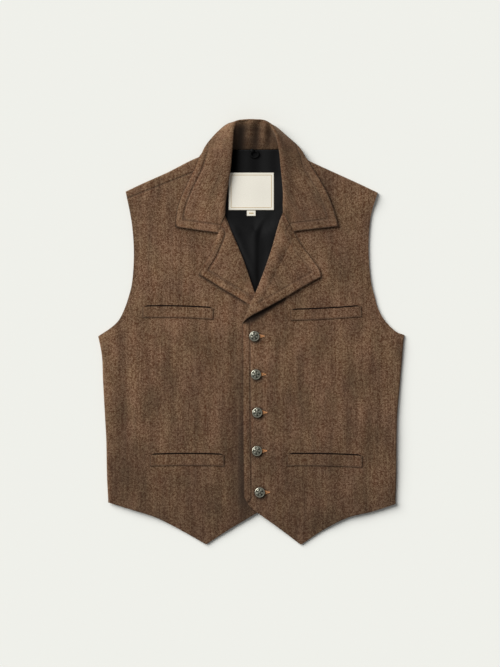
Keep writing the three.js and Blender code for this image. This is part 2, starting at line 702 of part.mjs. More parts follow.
// The origin is the middle of the footprint, on the table.
const bounds = new THREE.Box3().setFromObject(vest);
const middle = bounds.getCenter(new THREE.Vector3());
for (const mesh of vest.children) {
  mesh.position.sub(new THREE.Vector3(middle.x, middle.y, bounds.min.z));
}

export default vest;
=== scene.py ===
import math

import bmesh
import bpy
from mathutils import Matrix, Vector, noise


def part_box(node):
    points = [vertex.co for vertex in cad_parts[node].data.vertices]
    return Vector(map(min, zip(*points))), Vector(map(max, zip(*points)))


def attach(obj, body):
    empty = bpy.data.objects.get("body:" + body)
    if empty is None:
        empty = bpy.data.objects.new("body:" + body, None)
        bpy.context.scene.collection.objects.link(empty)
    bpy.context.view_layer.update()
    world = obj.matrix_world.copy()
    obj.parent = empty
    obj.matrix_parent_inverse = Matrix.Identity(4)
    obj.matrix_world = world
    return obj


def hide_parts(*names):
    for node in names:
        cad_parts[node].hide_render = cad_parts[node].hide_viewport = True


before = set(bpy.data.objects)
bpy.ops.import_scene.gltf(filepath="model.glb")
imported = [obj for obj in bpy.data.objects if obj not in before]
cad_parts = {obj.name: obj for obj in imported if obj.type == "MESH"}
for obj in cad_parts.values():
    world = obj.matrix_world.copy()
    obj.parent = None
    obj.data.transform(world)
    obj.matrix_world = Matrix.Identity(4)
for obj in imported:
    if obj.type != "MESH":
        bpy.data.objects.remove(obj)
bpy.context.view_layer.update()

# Table top, daylight and camera.
# The vest lies on a pale matte table, lit by a wide soft window light from the upper left, and is
# looked at from straight above.
scene = bpy.context.scene
scene.view_settings.view_transform = "Standard"
scene.view_settings.look = "None"

# Tables are in millimetres as measured on the vest. The frame has its origin in the middle of the
# footprint, and SHIFT goes from the one to the other by the neck label's place.
MM = 0.001
LABEL_X = 0.5
LABEL_Y = 244.6
label_low, label_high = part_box("neck_label")
SHIFT = Vector(((label_low[0] + label_high[0]) / 2 - LABEL_X * MM,
                (label_low[1] + label_high[1]) / 2 - LABEL_Y * MM, 0.0))


def socket(node, name, value):
    node.inputs[name].default_value = value
    return node


def new_material(name):
    material = bpy.data.materials.new(name)
    material.use_nodes = True
    nodes = material.node_tree.nodes
    return material, material.node_tree, nodes["Principled BSDF"]


table_material, table_tree, table_shader = new_material("pale table")
socket(table_shader, "Base Color", (0.857, 0.865, 0.824, 1.0))
socket(table_shader, "Roughness", 0.95)
socket(table_shader, "Specular IOR Level", 0.1)

TABLE_HALF = 6.0
TABLE_GAP = 0.2
table_mesh = bmesh.new()
bmesh.ops.create_grid(table_mesh, x_segments=1, y_segments=1, size=TABLE_HALF)
bmesh.ops.translate(table_mesh, verts=table_mesh.verts, vec=(0, 0, -TABLE_GAP * MM))
table_data = bpy.data.meshes.new("table_top")
table_mesh.to_mesh(table_data)
table_mesh.free()
table_top = bpy.data.objects.new("table_top", table_data)
table_top.data.materials.append(table_material)
scene.collection.objects.link(table_top)

world = bpy.data.worlds.new("room")
scene.world = world
world.use_nodes = True
socket(world.node_tree.nodes["Background"], "Color", (1.0, 1.0, 1.0, 1.0))
socket(world.node_tree.nodes["Background"], "Strength", 0.22)

WINDOW_TO_VEST = Vector((1.0, -0.85, -0.98))
window = bpy.data.lights.new("window", "SUN")
window.energy = 4.15
window.angle = math.radians(50)
window.color = (1.0, 0.995, 0.985)
window_lamp = bpy.data.objects.new("window", window)
window_lamp.rotation_euler = WINDOW_TO_VEST.to_track_quat("-Z", "Y").to_euler()
scene.collection.objects.link(window_lamp)

PHOTO_HEIGHT = 1167.25
PHOTO_MIDDLE = Vector((-1.75, -3.9, 0.0))
CAMERA_HEIGHT = 4200.0
FILM_HEIGHT = 36.0
camera_data = bpy.data.cameras.new("photo_camera")
camera_data.sensor_width = FILM_HEIGHT
camera_data.lens = FILM_HEIGHT * CAMERA_HEIGHT / PHOTO_HEIGHT
camera_data.clip_end = 50.0
camera = bpy.data.objects.new("photo_camera", camera_data)
camera.location = PHOTO_MIDDLE * MM + SHIFT + Vector((0.0, 0.0, CAMERA_HEIGHT * MM))
scene.collection.objects.link(camera)
scene.camera = camera

# Back panel.
# One piece of the brown wool under everything else, cut to the side seams, armholes and
# shoulders, and lying flat on the table.
BACK_WALL = 1.8
SEAM_GAP = 0.3
BACK_HEM_Y = -295.0
BACK_NECK_Y = 320.4
NECK_RISE_RUN = 12.0

SIDE_RIGHT = [(-249.6, -299.2), (-252.0, -253.3), (-253.2, -190.3), (-255.5, -148.3),
              (-259.0, -85.3), (-260.8, -43.3), (-267.1, -8.8)]
SIDE_LEFT = [(252.7, -301.8), (254.5, -253.3), (254.8, -190.3), (256.0, -148.3),
             (261.3, -85.3), (264.8, -43.3), (267.9, -6.2)]
ARMHOLE_RIGHT = [(-267.1, -8.8), (-243.3, 7.4), (-231.0, 19.7), (-220.5, 40.7), (-213.5, 61.7),
                 (-208.3, 82.7), (-204.8, 135.2), (-208.3, 187.7), (-219.1, 244.4)]
ARMHOLE_LEFT = [(267.9, -6.2), (254.6, -1.3), (233.3, 19.7), (221.7, 40.7), (215.8, 61.7),
                (210.5, 82.7), (205.6, 138.0), (209.5, 200.8), (221.4, 242.6)]
SHOULDER_RIGHT = [(-219.1, 244.4), (-187.3, 259.4), (-145.3, 278.2), (-103.3, 299.7),
                  (-76.0, 310.5), (-56.0, 317.0)]
SHOULDER_LEFT = [(221.4, 242.6), (190.8, 257.2), (148.8, 276.4), (106.8, 295.7),
                 (84.0, 307.5), (68.0, 317.0)]


def clamp01(value):
    return min(1.0, max(0.0, value))


def smoothstep(value):
    t = clamp01(value)
    return t * t * (3 - 2 * t)


def lerp(a, b, t):
    return a + (b - a) * t


class Line:
    """A smooth line through points, read by its share of the spans or of the length."""

    STEPS = 20

    def __init__(self, points):
        self.points = [Vector((*p, 0.0)) if len(p) == 2 else Vector(p) for p in points]
        count = (len(self.points) - 1) * self.STEPS
        self.dense = [self.span(i / count) for i in range(count + 1)]
        self.lengths = [0.0]
        for a, b in zip(self.dense, self.dense[1:]):
            self.lengths.append(self.lengths[-1] + (b - a).length)

    def span(self, share):
        """The point at a share of the spans, on a centripetal spline."""
        last = len(self.points) - 1
        where = clamp01(share) * last
        i = min(int(where), last - 1)
        t = where - i
        p1, p2 = self.points[i], self.points[i + 1]
        p0 = self.points[i - 1] if i > 0 else p1 * 2 - p2
        p3 = self.points[i + 2] if i + 2 <= last else p2 * 2 - p1
        d1 = max((p2 - p1).length ** 0.5, 1e-4)
        d0 = (p1 - p0).length ** 0.5 or d1
        d2 = (p3 - p2).length ** 0.5 or d1
        m1 = ((p1 - p0) / d0 - (p2 - p0) / (d0 + d1) + (p2 - p1) / d1) * d1
        m2 = ((p2 - p1) / d1 - (p3 - p1) / (d1 + d2) + (p3 - p2) / d2) * d1
        a = p1 * 2 - p2 * 2 + m1 + m2
        b = p2 * 3 - p1 * 3 - m1 * 2 - m2
        return ((a * t + b) * t + m1) * t + p1

    def at(self, share):
        """The point at a share of the length."""
        target = clamp01(share) * self.lengths[-1]
        low, high = 0, len(self.lengths) - 1
        while high - low > 1:
            middle = (low + high) // 2
            if self.lengths[middle] <= target:
                low = middle
            else:
                high = middle
        gap = self.lengths[high] - self.lengths[low]
        return self.dense[low].lerp(self.dense[high], (target - self.lengths[low]) / gap)


def chain(first, second, share):
    """Two lines as one: the first takes up this share of it."""
    return lambda t: first(t / share) if t <= share else second((t - share) / (1 - share))


def patch(bottom, top, left, right):
    """The surface between four lines that share their corners."""
    corners = bottom(0.0), bottom(1.0), top(0.0), top(1.0)

    def surface(u, v):
        across = bottom(u) * (1 - v) + top(u) * v
        along = left(v) * (1 - u) + right(v) * u
        square = (corners[0] * ((1 - u) * (1 - v)) + corners[1] * (u * (1 - v))
                  + corners[2] * ((1 - u) * v) + corners[3] * (u * v))
        return across + along - square

    return surface


def nearest(lines, point):
    """Distance from a point to the nearest of some polylines, and how far along it lies."""
    best = (1e9, 0.0)
    start = 0.0
    for line in lines:
        for a, b in zip(line, line[1:]):
            span = b - a
            length = span.length
            t = clamp01((point - a).dot(span) / (length * length)) if length else 0.0
            distance = (a + span * t - point).length
            if distance < best[0]:
                best = (distance, start + length * t)
            start += length
    return best


UNSTITCHED = (90.0, 0.0)


def cloth_grid(columns, rows, place, flip=False, cloth=None, edge=None, painted_shade_at=None):
    """A grid laid out by place(u, v) in millimetres, with the cloth's own grain in its first UV
    map and the distance from its stitched edge in the second. The last function gives how much
    painted shade the surface gets at each place."""
    mesh = bmesh.new()
    bmesh.ops.create_grid(mesh, x_segments=len(columns) - 1, y_segments=len(rows) - 1, size=1.0)
    xs = sorted({round(v.co.x, 5) for v in mesh.verts})
    ys = sorted({round(v.co.y, 5) for v in mesh.verts})
    column_of = {x: i for i, x in enumerate(xs)}
    row_of = {y: i for i, y in enumerate(ys)}
    grain, seam = {}, {}
    # Painted shade at each vertex, read by the material.
    painted_shade = mesh.verts.layers.float.new("painted_shade")
    for vert in mesh.verts:
        u = columns[column_of[round(vert.co.x, 5)]]
        v = rows[row_of[round(vert.co.y, 5)]]
        point = place(u, v)
        grain[vert.index] = cloth(u, v, point) if cloth else (point.x, point.y)
        seam[vert.index] = edge(u, v, point) if edge else UNSTITCHED
        vert[painted_shade] = painted_shade_at(u, v, point) if painted_shade_at else 0.0
        vert.co = point * MM + SHIFT
    if flip:
        bmesh.ops.reverse_faces(mesh, faces=mesh.faces)
    grain_map = mesh.loops.layers.uv.new("UVMap")
    seam_map = mesh.loops.layers.uv.new("Stitching")
    for face in mesh.faces:
        face.smooth = True
        for loop in face.loops:
            loop[grain_map].uv = grain[loop.vert.index]
            loop[seam_map].uv = seam[loop.vert.index]
    return mesh


def add_piece(name, mesh, material, slot, *replaced):
    data = bpy.data.meshes.new(name)
    mesh.to_mesh(data)
    mesh.free()
    data.materials.append(material)
    piece = bpy.data.objects.new(name, data)
    scene.collection.objects.link(piece)
    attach(piece, "root")
    if replaced:
        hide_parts(*replaced)
    return piece


def add_wall(piece, thickness, offset=-1.0, rounding=0.45):
    """Gives the sheet its thickness and softly turned edges."""
    wall = piece.modifiers.new("wall", "SOLIDIFY")
    wall.thickness = thickness * MM
    wall.offset = offset
    wall.use_even_offset = False
    if rounding:
        bevel = piece.modifiers.new("turned_edge", "BEVEL")
        bevel.width = rounding * MM
        bevel.segments = 2
        bevel.limit_method = "ANGLE"
        bevel.angle_limit = math.radians(50)


def spaced(count, start=0.0, end=1.0):
    return [lerp(start, end, i / count) for i in range(count + 1)]


class Nodes:
    """Short ways to add the nodes of one material."""

    def __init__(self, tree):
        self.tree = tree

    def add(self, kind, **settings):
        node = self.tree.nodes.new(kind)
        for name, value in settings.items():
            setattr(node, name, value)
        return node

    def feed(self, socket_in, value):
        """Links an output to an input, or sets the input to a plain value."""
        if isinstance(value, bpy.types.NodeSocket):
            self.tree.links.new(value, socket_in)
        else:
            socket_in.default_value = value

    def math(self, operation, a, b=0.0, c=0.0):
        node = self.add("ShaderNodeMath", operation=operation)
        for slot_in, value in zip(node.inputs, (a, b, c)):
            self.feed(slot_in, value)
        return node.outputs[0]

    def noise(self, vector, scale, detail=2.0, rough=0.5):
        node = self.add("ShaderNodeTexNoise")
        self.feed(node.inputs["Vector"], vector)
        node.inputs["Scale"].default_value = scale
        node.inputs["Detail"].default_value = detail
        node.inputs["Roughness"].default_value = rough
        return node.outputs["Fac"]

    def cells(self, vector, scale):
        """A random value for each small cell of a plane."""
        node = self.add("ShaderNodeTexVoronoi", voronoi_dimensions="2D")
        self.feed(node.inputs["Vector"], vector)
        node.inputs["Scale"].default_value = scale
        split = self.add("ShaderNodeSeparateColor")
        self.tree.links.new(node.outputs["Color"], split.inputs[0])
        return split.outputs[0]

    def scaled(self, vector, size, turn=0.0, move=(0.0, 0.0, 0.0)):
        node = self.add("ShaderNodeMapping")
        self.feed(node.inputs["Vector"], vector)
        node.inputs["Scale"].default_value = size
        node.inputs["Rotation"].default_value = (0.0, 0.0, math.radians(turn))
        node.inputs["Location"].default_value = move
        return node.outputs["Vector"]

    def spread(self, value, low, high, to_low=0.0, to_high=1.0):
        node = self.add("ShaderNodeMapRange", clamp=True)
        for slot_in, number in zip(node.inputs, (value, low, high, to_low, to_high)):
            self.feed(slot_in, number)
        return node.outputs[0]

    def parts(self, vector):
        """The separate X, Y and Z of a vector."""
        node = self.add("ShaderNodeSeparateXYZ")
        self.feed(node.inputs[0], vector)
        return node.outputs

    def uv(self, name):
        return self.add("ShaderNodeUVMap", uv_map=name).outputs["UV"]

    def place(self):
        return self.add("ShaderNodeTexCoord").outputs["Object"]

    def attribute(self, name):
        return self.add("ShaderNodeAttribute", attribute_name=name).outputs["Fac"]

    def relief(self, shader, height, depth, strength=1.0):
        """Bump of a surface, depth millimetres for a height of one."""
        node = self.add("ShaderNodeBump")
        node.inputs["Distance"].default_value = depth * MM
        node.inputs["Strength"].default_value = strength
        self.feed(node.inputs["Height"], height)
        self.feed(shader.inputs["Normal"], node.outputs["Normal"])

    def blend(self, share, a, b, mode="MIX"):
        node = self.add("ShaderNodeMix", data_type="RGBA", blend_type=mode)
        self.feed(node.inputs["Factor"], share)
        self.feed(node.inputs[6], a)
        self.feed(node.inputs[7], b)
        return node.outputs[2]


COLUMN_WIDTH = 9.6
TWILL_PITCH = 3.1
STITCH_LENGTH = 3.6
DARK_YARN = (0.062, 0.0215, 0.0070)
TAN_YARN = (0.222, 0.141, 0.084)
NAP = (0.34, 0.24, 0.15)
GREENISH = (0.982, 1.008, 0.972, 1.0)
REDDISH = (1.022, 0.992, 1.012, 1.0)
WOOL_IN_PAINTED_SHADE = (0.022, 0.013, 0.008, 1.0)
WORN_EDGE = (1.7, 1.65, 1.6, 1.0)
EDGE_PAINTED_SHADE = (0.018, 0.010, 0.006, 1.0)
STITCH_GROOVE_SHADE = (0.030, 0.017, 0.011, 1.0)
STITCH_THREAD = (0.15, 0.085, 0.05, 1.0)
WORN_EDGE_MIDDLE = 4.0


def tweed(name, turn=0.0, shade=1.0, stitch_at=None, move=(0.0, 0.0, 0.0), sunk=1.0,
          rim_shade=0.6):
    """Brown herringbone wool: columns of twill that turn at each column's edge, in flecked tan
    and dark yarns with a soft nap. Its colour also holds painted light that falls off towards the
    hem, and painted shade where a piece's attribute asks; shade makes a lighter or darker copy of
    the wool. A piece with a stitch_at has a row of stitches that far in, sunk says how far they
    pull the cloth down and how much painted shade lies in their groove, and rim_shade how strong
    the painted shade along its cut edge is."""
    material, tree, shader = new_material(name)
    n = Nodes(tree)
    grain = n.scaled(n.uv("UVMap"), (1.0, 1.0, 1.0), turn, move)

    # Herringbone: each column of twill leans the other way.
    wander = n.noise(n.scaled(grain, (0.07, 0.03, 1.0)), 1.0, 2.0)
    on_cloth = n.parts(grain)
    across = n.math("ADD", on_cloth["X"], n.math("MULTIPLY", wander, 1.6))
    along = n.math("ADD", on_cloth["Y"], n.math("MULTIPLY", wander, 1.2))
    column = n.math("DIVIDE", across, COLUMN_WIDTH)
    number = n.math("FLOOR", column)
    inside = n.math("SUBTRACT", column, number)
    way = n.math("SUBTRACT", 1.0, n.math("MULTIPLY", n.math("FLOORED_MODULO", number, 2.0), 2.0))
    lean = n.math("MULTIPLY", n.math("MULTIPLY", inside, way), COLUMN_WIDTH / TWILL_PITCH)
    phase = n.math("ADD", n.math("DIVIDE", along, TWILL_PITCH),
                   n.math("ADD", lean, n.math("MULTIPLY", number, 0.5)))
    twill = n.math("MULTIPLY_ADD", n.math("SINE", n.math("MULTIPLY", phase, math.tau)), 0.5, 0.5)

    # Yarns: how much of each pattern goes into the mixture of dark and tan.
    yarn = n.noise(n.scaled(grain, (1.1, 0.8, 1.0)), 1.0, 2.0, 0.6)
    fleck = n.noise(n.scaled(grain, (0.35, 0.31, 1.0)), 1.0, 2.0, 0.6)
    knot = n.cells(n.scaled(grain, (1.0, 0.9, 1.0)), 0.62)
    rib = n.noise(n.scaled(grain, (0.40, 0.010, 1.0)), 1.0, 2.0, 0.5)
    tone = 0.5
    for pattern, share in ((twill, 0.24), (yarn, 0.9), (fleck, 1.0), (knot, 1.05), (rib, 0.9)):
        tone = n.math("MULTIPLY_ADD", n.math("SUBTRACT", pattern, 0.5), share, tone)
    tone = n.math("POWER", n.spread(tone, -0.2, 1.2), 1.3)
    dark, tan, nap = ((*(part * shade for part in yarn_colour), 1.0)
                      for yarn_colour in (DARK_YARN, TAN_YARN, NAP))
    colour = n.blend(tone, dark, tan)
    reddish = n.noise(n.scaled(grain, (0.026, 0.016, 1.0), 0.0, (40.0, 7.0, 3.0)), 1.0, 2.0)
    colour = n.blend(1.0, colour, n.blend(n.spread(reddish, 0.38, 0.62), GREENISH, REDDISH),
                     "MULTIPLY")
    fuzz = n.noise(n.scaled(grain, (2.6, 2.6, 1.0)), 1.0, 3.0, 0.7)
    colour = n.blend(n.math("MULTIPLY", n.spread(fuzz, 0.60, 0.78), 0.25), colour, nap)

    # Random streaks and patches of wear, times painted light that falls off towards the hem and the
    # right and is brightest along the left side edge, then painted shade where the piece's
    # attribute asks.
    streak = n.noise(n.scaled(grain, (0.055, 0.006, 1.0)), 1.0, 3.0, 0.6)
    patchy = n.noise(n.scaled(grain, (0.018, 0.014, 1.0)), 1.0, 3.0, 0.55)
    on_vest = n.parts(n.place())
    painted_light_falloff = n.math("MULTIPLY", n.spread(on_vest["Y"], -0.36, -0.02, 0.68, 1.0),
                   n.spread(on_vest["X"], -0.15, 0.2, 1.05, 0.95))
    painted_light_falloff = n.math("MULTIPLY", painted_light_falloff, n.spread(on_vest["X"], -0.257, -0.234, 1.24, 1.0))
    wear_and_painted_light = n.math("ADD", n.math("MULTIPLY", streak, 0.5), n.math("MULTIPLY", patchy, 0.5))
    wear_and_painted_light = n.math("MULTIPLY", n.spread(wear_and_painted_light, 0.34, 0.66, 0.64, 1.36), painted_light_falloff)
    colour = n.blend(1.0, colour, wear_and_painted_light, "MULTIPLY")
    # Painted shade: the wool goes towards a near-black brown as far as the piece's attribute says.
    colour = n.blend(n.attribute("painted_shade"), colour, WOOL_IN_PAINTED_SHADE)
    height = n.math("ADD", n.math("MULTIPLY", twill, 0.10), n.math("MULTIPLY", fuzz, 0.34))
    height = n.math("ADD", height, n.math("MULTIPLY", fleck, 0.25))

    # Topstitching: a band of wear at the edge, painted shade along the cut edge, then a groove with
    # painted shade in it and its beat of stitches.
    if stitch_at is not None:
        seam = n.parts(n.uv("Stitching"))
        off_band = n.math("ABSOLUTE", n.math("SUBTRACT", seam["X"], WORN_EDGE_MIDDLE))
        worn_edge = n.math("SUBTRACT", 1.0, n.math("DIVIDE", off_band, WORN_EDGE_MIDDLE))
        colour = n.blend(n.spread(worn_edge, 0.0, 1.0, 0.0, 0.35 * sunk), colour, WORN_EDGE,
                         "MULTIPLY")
        # Painted shade along the cut edge, as strong as rim_shade.
        colour = n.blend(n.spread(seam["X"], 0.3, 2.0, rim_shade, 0.0), colour, EDGE_PAINTED_SHADE)
        off = n.math("ABSOLUTE", n.math("SUBTRACT", seam["X"], stitch_at))
        groove = n.spread(off, 0.3, 2.8, 1.0, 0.0)
        beat = n.math("PINGPONG", seam["Y"], STITCH_LENGTH / 2)
        thread = n.math("MULTIPLY", n.spread(off, 0.3, 0.5, 1.0, 0.0), n.spread(beat, 0.25, 0.5))
        height = n.math("SUBTRACT", height, n.math("MULTIPLY", groove, 1.5 * sunk))
        height = n.math("ADD", height, n.math("MULTIPLY", thread, 0.5))
        # Painted shade in the stitch groove, scaled by sunk.
        colour = n.blend(n.math("MULTIPLY", groove, 0.24 * sunk), colour, STITCH_GROOVE_SHADE)
        colour = n.blend(n.math("MULTIPLY", thread, 0.75), colour, STITCH_THREAD)
    n.relief(shader, height, 1.0, 0.8)
    n.feed(shader.inputs["Base Color"], colour)
    socket(shader, "Roughness", 0.92)
    socket(shader, "Specular IOR Level", 0.22)
    socket(shader, "Sheen Weight", 0.22)
    socket(shader, "Sheen Roughness", 0.45)
    socket(shader, "Sheen Tint", (0.75, 0.6, 0.48, 1.0))
    return material


SIDE_SHARE = 0.53
SHOULDER_SHARE = 0.36
right_outer = chain(Line(SIDE_RIGHT).at, Line(ARMHOLE_RIGHT).at, SIDE_SHARE)
left_outer = chain(Line(SIDE_LEFT).at, Line(ARMHOLE_LEFT).at, SIDE_SHARE)
right_shoulder = Line(SHOULDER_RIGHT).at
left_shoulder = Line(SHOULDER_LEFT).at


def back_top(u):
    """The shoulders and, between them, the back of the neck."""
    if u < SHOULDER_SHARE:
        return right_shoulder(u / SHOULDER_SHARE)
    if u > 1 - SHOULDER_SHARE:
        return left_shoulder((1 - u) / SHOULDER_SHARE)
    share = (u - SHOULDER_SHARE) / (1 - 2 * SHOULDER_SHARE)
    (start, low), (end, _) = SHOULDER_RIGHT[-1], SHOULDER_LEFT[-1]
    x = lerp(start, end, share)
    y = lerp(low, BACK_NECK_Y, clamp01(min(x - start, end - x) / NECK_RISE_RUN))
    return Vector((x, y, 0.0))


back_surface = patch(
    lambda u: Vector((lerp(SIDE_RIGHT[0][0], SIDE_LEFT[0][0], u), SIDE_RIGHT[0][1], 0.0)),
    back_top, right_outer, left_outer)


def place_back(u, v):
    point = back_surface(u, v)
    point.y = max(point.y, BACK_HEM_Y)
    point.z = BACK_WALL
    return point


wool = tweed("herringbone wool, panels")
back = add_piece("back_panel", cloth_grid(spaced(100), spaced(130), place_back),
                 wool, "wool", "back")
add_wall(back, BACK_WALL)

# Satin lining.
# Black satin over the inside of the back, which shows in the neck opening in soft upright folds.
SATIN = 1.0
LINING_Z = BACK_WALL + SEAM_GAP
LINING_HALF = [(34.0, 18.0), (50.0, 28.0), (120.0, 48.0), (200.0, 70.0), (280.0, 66.0),
               (317.6, 48.0)]
LINING_MIDDLE = 6.0
LINING_FOLDS_TOP = 200
CREASE_X = 13.5
SATIN_DARK = (0.0024, 0.0024, 0.0025, 1.0)
SATIN_LIGHT = (0.0052, 0.0052, 0.0055, 1.0)
SATIN_IN_SHADE = (0.0003, 0.0003, 0.0003, 1.0)


def lining_half(y):
    """Half the width of the satin that shows, and a little more under the front edges."""
    for (y0, w0), (y1, w1) in zip(LINING_HALF, LINING_HALF[1:]):
        if y <= y1:
            return lerp(w0, w1, smoothstep((y - y0) / (y1 - y0)))
    return LINING_HALF[-1][1]


def place_lining(u, v):
    """Soft upright folds between the label and the front edges, that die out under the label."""
    y = lerp(LINING_HALF[0][0], LINING_HALF[-1][0], v)
    x = LINING_MIDDLE + (u * 2 - 1) * lining_half(y)
    fade = lerp(0.10, 1.0, smoothstep((LINING_FOLDS_TOP - y) / 30))
    crease = CREASE_X + 0.00008 * max(0.0, y - 140) ** 3
    crease_half = 4 if x < crease else 12
    rise = 1.2 * math.exp(-((x + 17 + 0.45 * (y - 150)) / 8) ** 2)
    rise += 0.5 * math.exp(-((x - 20 - crease) / 9) ** 2)
    rise -= 1.6 * math.exp(-((x - crease) / crease_half) ** 2)
    rise += 1.6 + 0.8 * noise.noise(Vector((x * 0.06, y * 0.015, 3.0)))
    return Vector((x, y, LINING_Z + SATIN + max(0.0, rise) * fade * smoothstep((y - 40) / 70)))


satin, satin_tree, satin_shader = new_material("black satin")
n = Nodes(satin_tree)
satin_thread = n.noise(n.scaled(n.uv("UVMap"), (4.0, 0.3, 1.0)), 1.0, 2.0)
satin_cloud = n.noise(n.scaled(n.uv("UVMap"), (0.03, 0.012, 1.0)), 1.0, 2.0)
# Painted shade: where the attribute says, the satin goes near black and loses most of its
# reflection.
satin_shade = n.attribute("painted_shade")
satin_colour = n.blend(n.spread(satin_cloud, 0.3, 0.7), SATIN_DARK, SATIN_LIGHT)
n.feed(satin_shader.inputs["Base Color"], n.blend(satin_shade, satin_colour, SATIN_IN_SHADE))
n.feed(satin_shader.inputs["Specular IOR Level"], n.spread(satin_shade, 0.0, 1.0, 0.16, 0.02))
n.feed(satin_shader.inputs["Roughness"], n.spread(satin_thread, 0.2, 0.8, 0.36, 0.52))
n.relief(satin_shader, satin_thread, 0.1)
socket(satin_shader, "Anisotropic", 0.4)


def lining_painted_shade(u, v, point):
    """Painted shade on the satin above the label, as in the collar's shade, least on its two
    upright folds.
    """
    folds = 0.22 - 0.22 * math.cos((point.x + 10) * 0.19)
    return (max(smoothstep((-14 - point.x) / 16), folds * smoothstep((point.x + 22) / 12))
            * smoothstep((point.y - 258) / 24))


lining = add_piece("satin_lining",
                   cloth_grid(spaced(60), spaced(100), place_lining, painted_shade_at=lining_painted_shade),
                   satin, "satin", "back_lining")
add_wall(lining, SATIN, rounding=0.2)

# Fronts.
# Two wool panels that meet the back at the rolled side and shoulder edges. The left one laps over
# the right, and both come down to a point at the hem.
WOOL = 2.0
LAPEL_GAP = 0.6
FRONT_TOP = 6.6
LAP_RISE = 2.4
LAP_EASE = 46
EDGE_ROLL = FRONT_TOP - BACK_WALL - SEAM_GAP
EDGE_STEEPNESS = 1.7
POINT_DROP = 0.6 * (FRONT_TOP - WOOL - 0.1)
ARMHOLE_DROP = 2.2
RIGHT_EDGE_X = 31.0
BREAK_Y = 14.0
TOPSTITCH = 14.0
BUTTONS = [(6.0, -8.7), (8.6, -75.5), (10.9, -142.0), (10.5, -209.0), (15.4, -281.3)]

HEM_OUTER_RIGHT = [(-249.6, -299.2), (-208.3, -311.9), (-166.3, -325.6), (-124.3, -346.6),
                   (-78.4, -372.8)]
HEM_INNER_RIGHT = [(-78.4, -372.8), (-40.3, -347.8), (1.8, -322.4), (22.0, -309.0),
                   (RIGHT_EDGE_X, -292.0)]
HEM_OUTER_LEFT = [(252.7, -301.8), (211.8, -315.1), (169.8, -325.6), (127.8, -346.6),
                  (87.2, -373.4)]
HEM_INNER_LEFT = [(87.2, -373.4), (43.8, -340.3), (11.4, -317.0), (-3.0, -304.8),
                  (-12.4, -288.0)]
EDGE_RIGHT = [(RIGHT_EDGE_X, -292.0), (RIGHT_EDGE_X, -140.0), (RIGHT_EDGE_X, BREAK_Y)]
EDGE_LEFT = [(-12.4, -288.0), (-14.4, -140.0), (-15.2, BREAK_Y)]
ROLL_RIGHT = [(RIGHT_EDGE_X, BREAK_Y), (7.0, 67.5), (-12.1, 122.8), (-32.9, 171.8),
              (-45.9, 204.0)]
ROLL_LEFT = [(-15.2, BREAK_Y), (-0.4, 48.4), (18.6, 94.8), (35.9, 144.1), (51.8, 197.8),
             (56.0, 208.0)]
NECK_RIGHT = [(-45.9, 204.0), (-55.5, 216.0), (-60.0, 243.0), (-60.5, 281.0), (-56.0, 317.0)]
NECK_LEFT = [(56.0, 208.0), (66.5, 220.0), (71.0, 243.0), (72.5, 281.0), (68.0, 317.0)]

# Soft folds: middle x and y, half length along Y, half width along X, and rise.
FOLDS = [
    (-222, -150, 80, 12, -2.6), (-200, -120, 110, 12, 0.9), (-25, -245, 66, 12, -2.4),
    (-26, -80, 100, 11, -1.6), (-50, -150, 150, 15, 1.0),
    (-150, -150, 60, 26, -0.8), (-120, -60, 60, 40, 0.5),
    (94, -120, 60, 14, -1.1), (150, -90, 90, 20, 0.5), (187, 0, 40, 12, -0.9),
    (205, -60, 90, 14, 0.6), (226, -170, 80, 12, -0.9), (-165, 120, 50, 24, 0.5),
    (165, 130, 60, 22, -0.5), (256, -200, 80, 26, 2.5), (-190, -322, 26, 70, 1.6),
    (195, -322, 26, 70, 1.7), (-40, -340, 24, 34, 0.5),
]


def fold_rise(x, y):
    """Rise of the wool over its soft folds and over its own slight unevenness."""
    rise = 0.0
    for fold_x, fold_y, long, wide, depth in FOLDS:
        rise += depth * math.exp(-((x - fold_x) / wide) ** 2 - ((y - fold_y) / long) ** 2)
    rise += 0.55 * noise.noise(Vector((x * 0.045, y * 0.009, 1.0)))
    rise += 0.30 * noise.noise(Vector((x * 0.03, y * 0.03, 7.0)))
    return rise


def lapel_bump(x, y):
    """The left front stands over the end of the right lapel below it."""
    start, end = Vector((-6.0, 60.0)), Vector((RIGHT_EDGE_X, BREAK_Y))
    span = end - start
    t = clamp01((Vector((x, y)) - start).dot(span) / span.length_squared)
    distance = (Vector((x, y)) - start - span * t).length
    return (WOOL + LAPEL_GAP + 0.3) * (1 - smoothstep((distance - 20) / 42))


def front_top(side, x, y):
    """Upper face of a front: calm beside the lap, raised on it, and lower at the hem's points."""
    drop = POINT_DROP * smoothstep((-300 - y) / 66)
    calm = smoothstep((abs(x - 8) - 24) / 12)
    z = FRONT_TOP + fold_rise(x, y) * calm - drop
    if side == "left":
        z += LAP_RISE * (1 - smoothstep((x - RIGHT_EDGE_X - 4) / LAP_EASE)) + lapel_bump(x, y)
    return z


def roll_drop(distance):
    """How far a front has rolled down to its seam at a distance from it."""
    inside = EDGE_ROLL - min(distance * EDGE_STEEPNESS, EDGE_ROLL)
    return EDGE_ROLL - math.sqrt(max(0.0, EDGE_ROLL ** 2 - inside ** 2))


def front_cut(outer, shoulder, hem_outer, hem_inner, edge, roll, neck):
    """The four sides of a front."""
    edge_and_roll = chain(Line(edge).at, Line(roll).at, 0.62)
    return {"outer": outer, "shoulder": shoulder,
            "hem": chain(Line(hem_outer).at, Line(hem_inner).at, 0.62),
            "inner": chain(edge_and_roll, Line(neck).at, 0.82)}


CUTS = {
    "right": front_cut(right_outer, right_shoulder, HEM_OUTER_RIGHT, HEM_INNER_RIGHT,
                       EDGE_RIGHT, ROLL_RIGHT, NECK_RIGHT),
    "left": front_cut(left_outer, left_shoulder, HEM_OUTER_LEFT, HEM_INNER_LEFT,
                      EDGE_LEFT, ROLL_LEFT, NECK_LEFT),
}
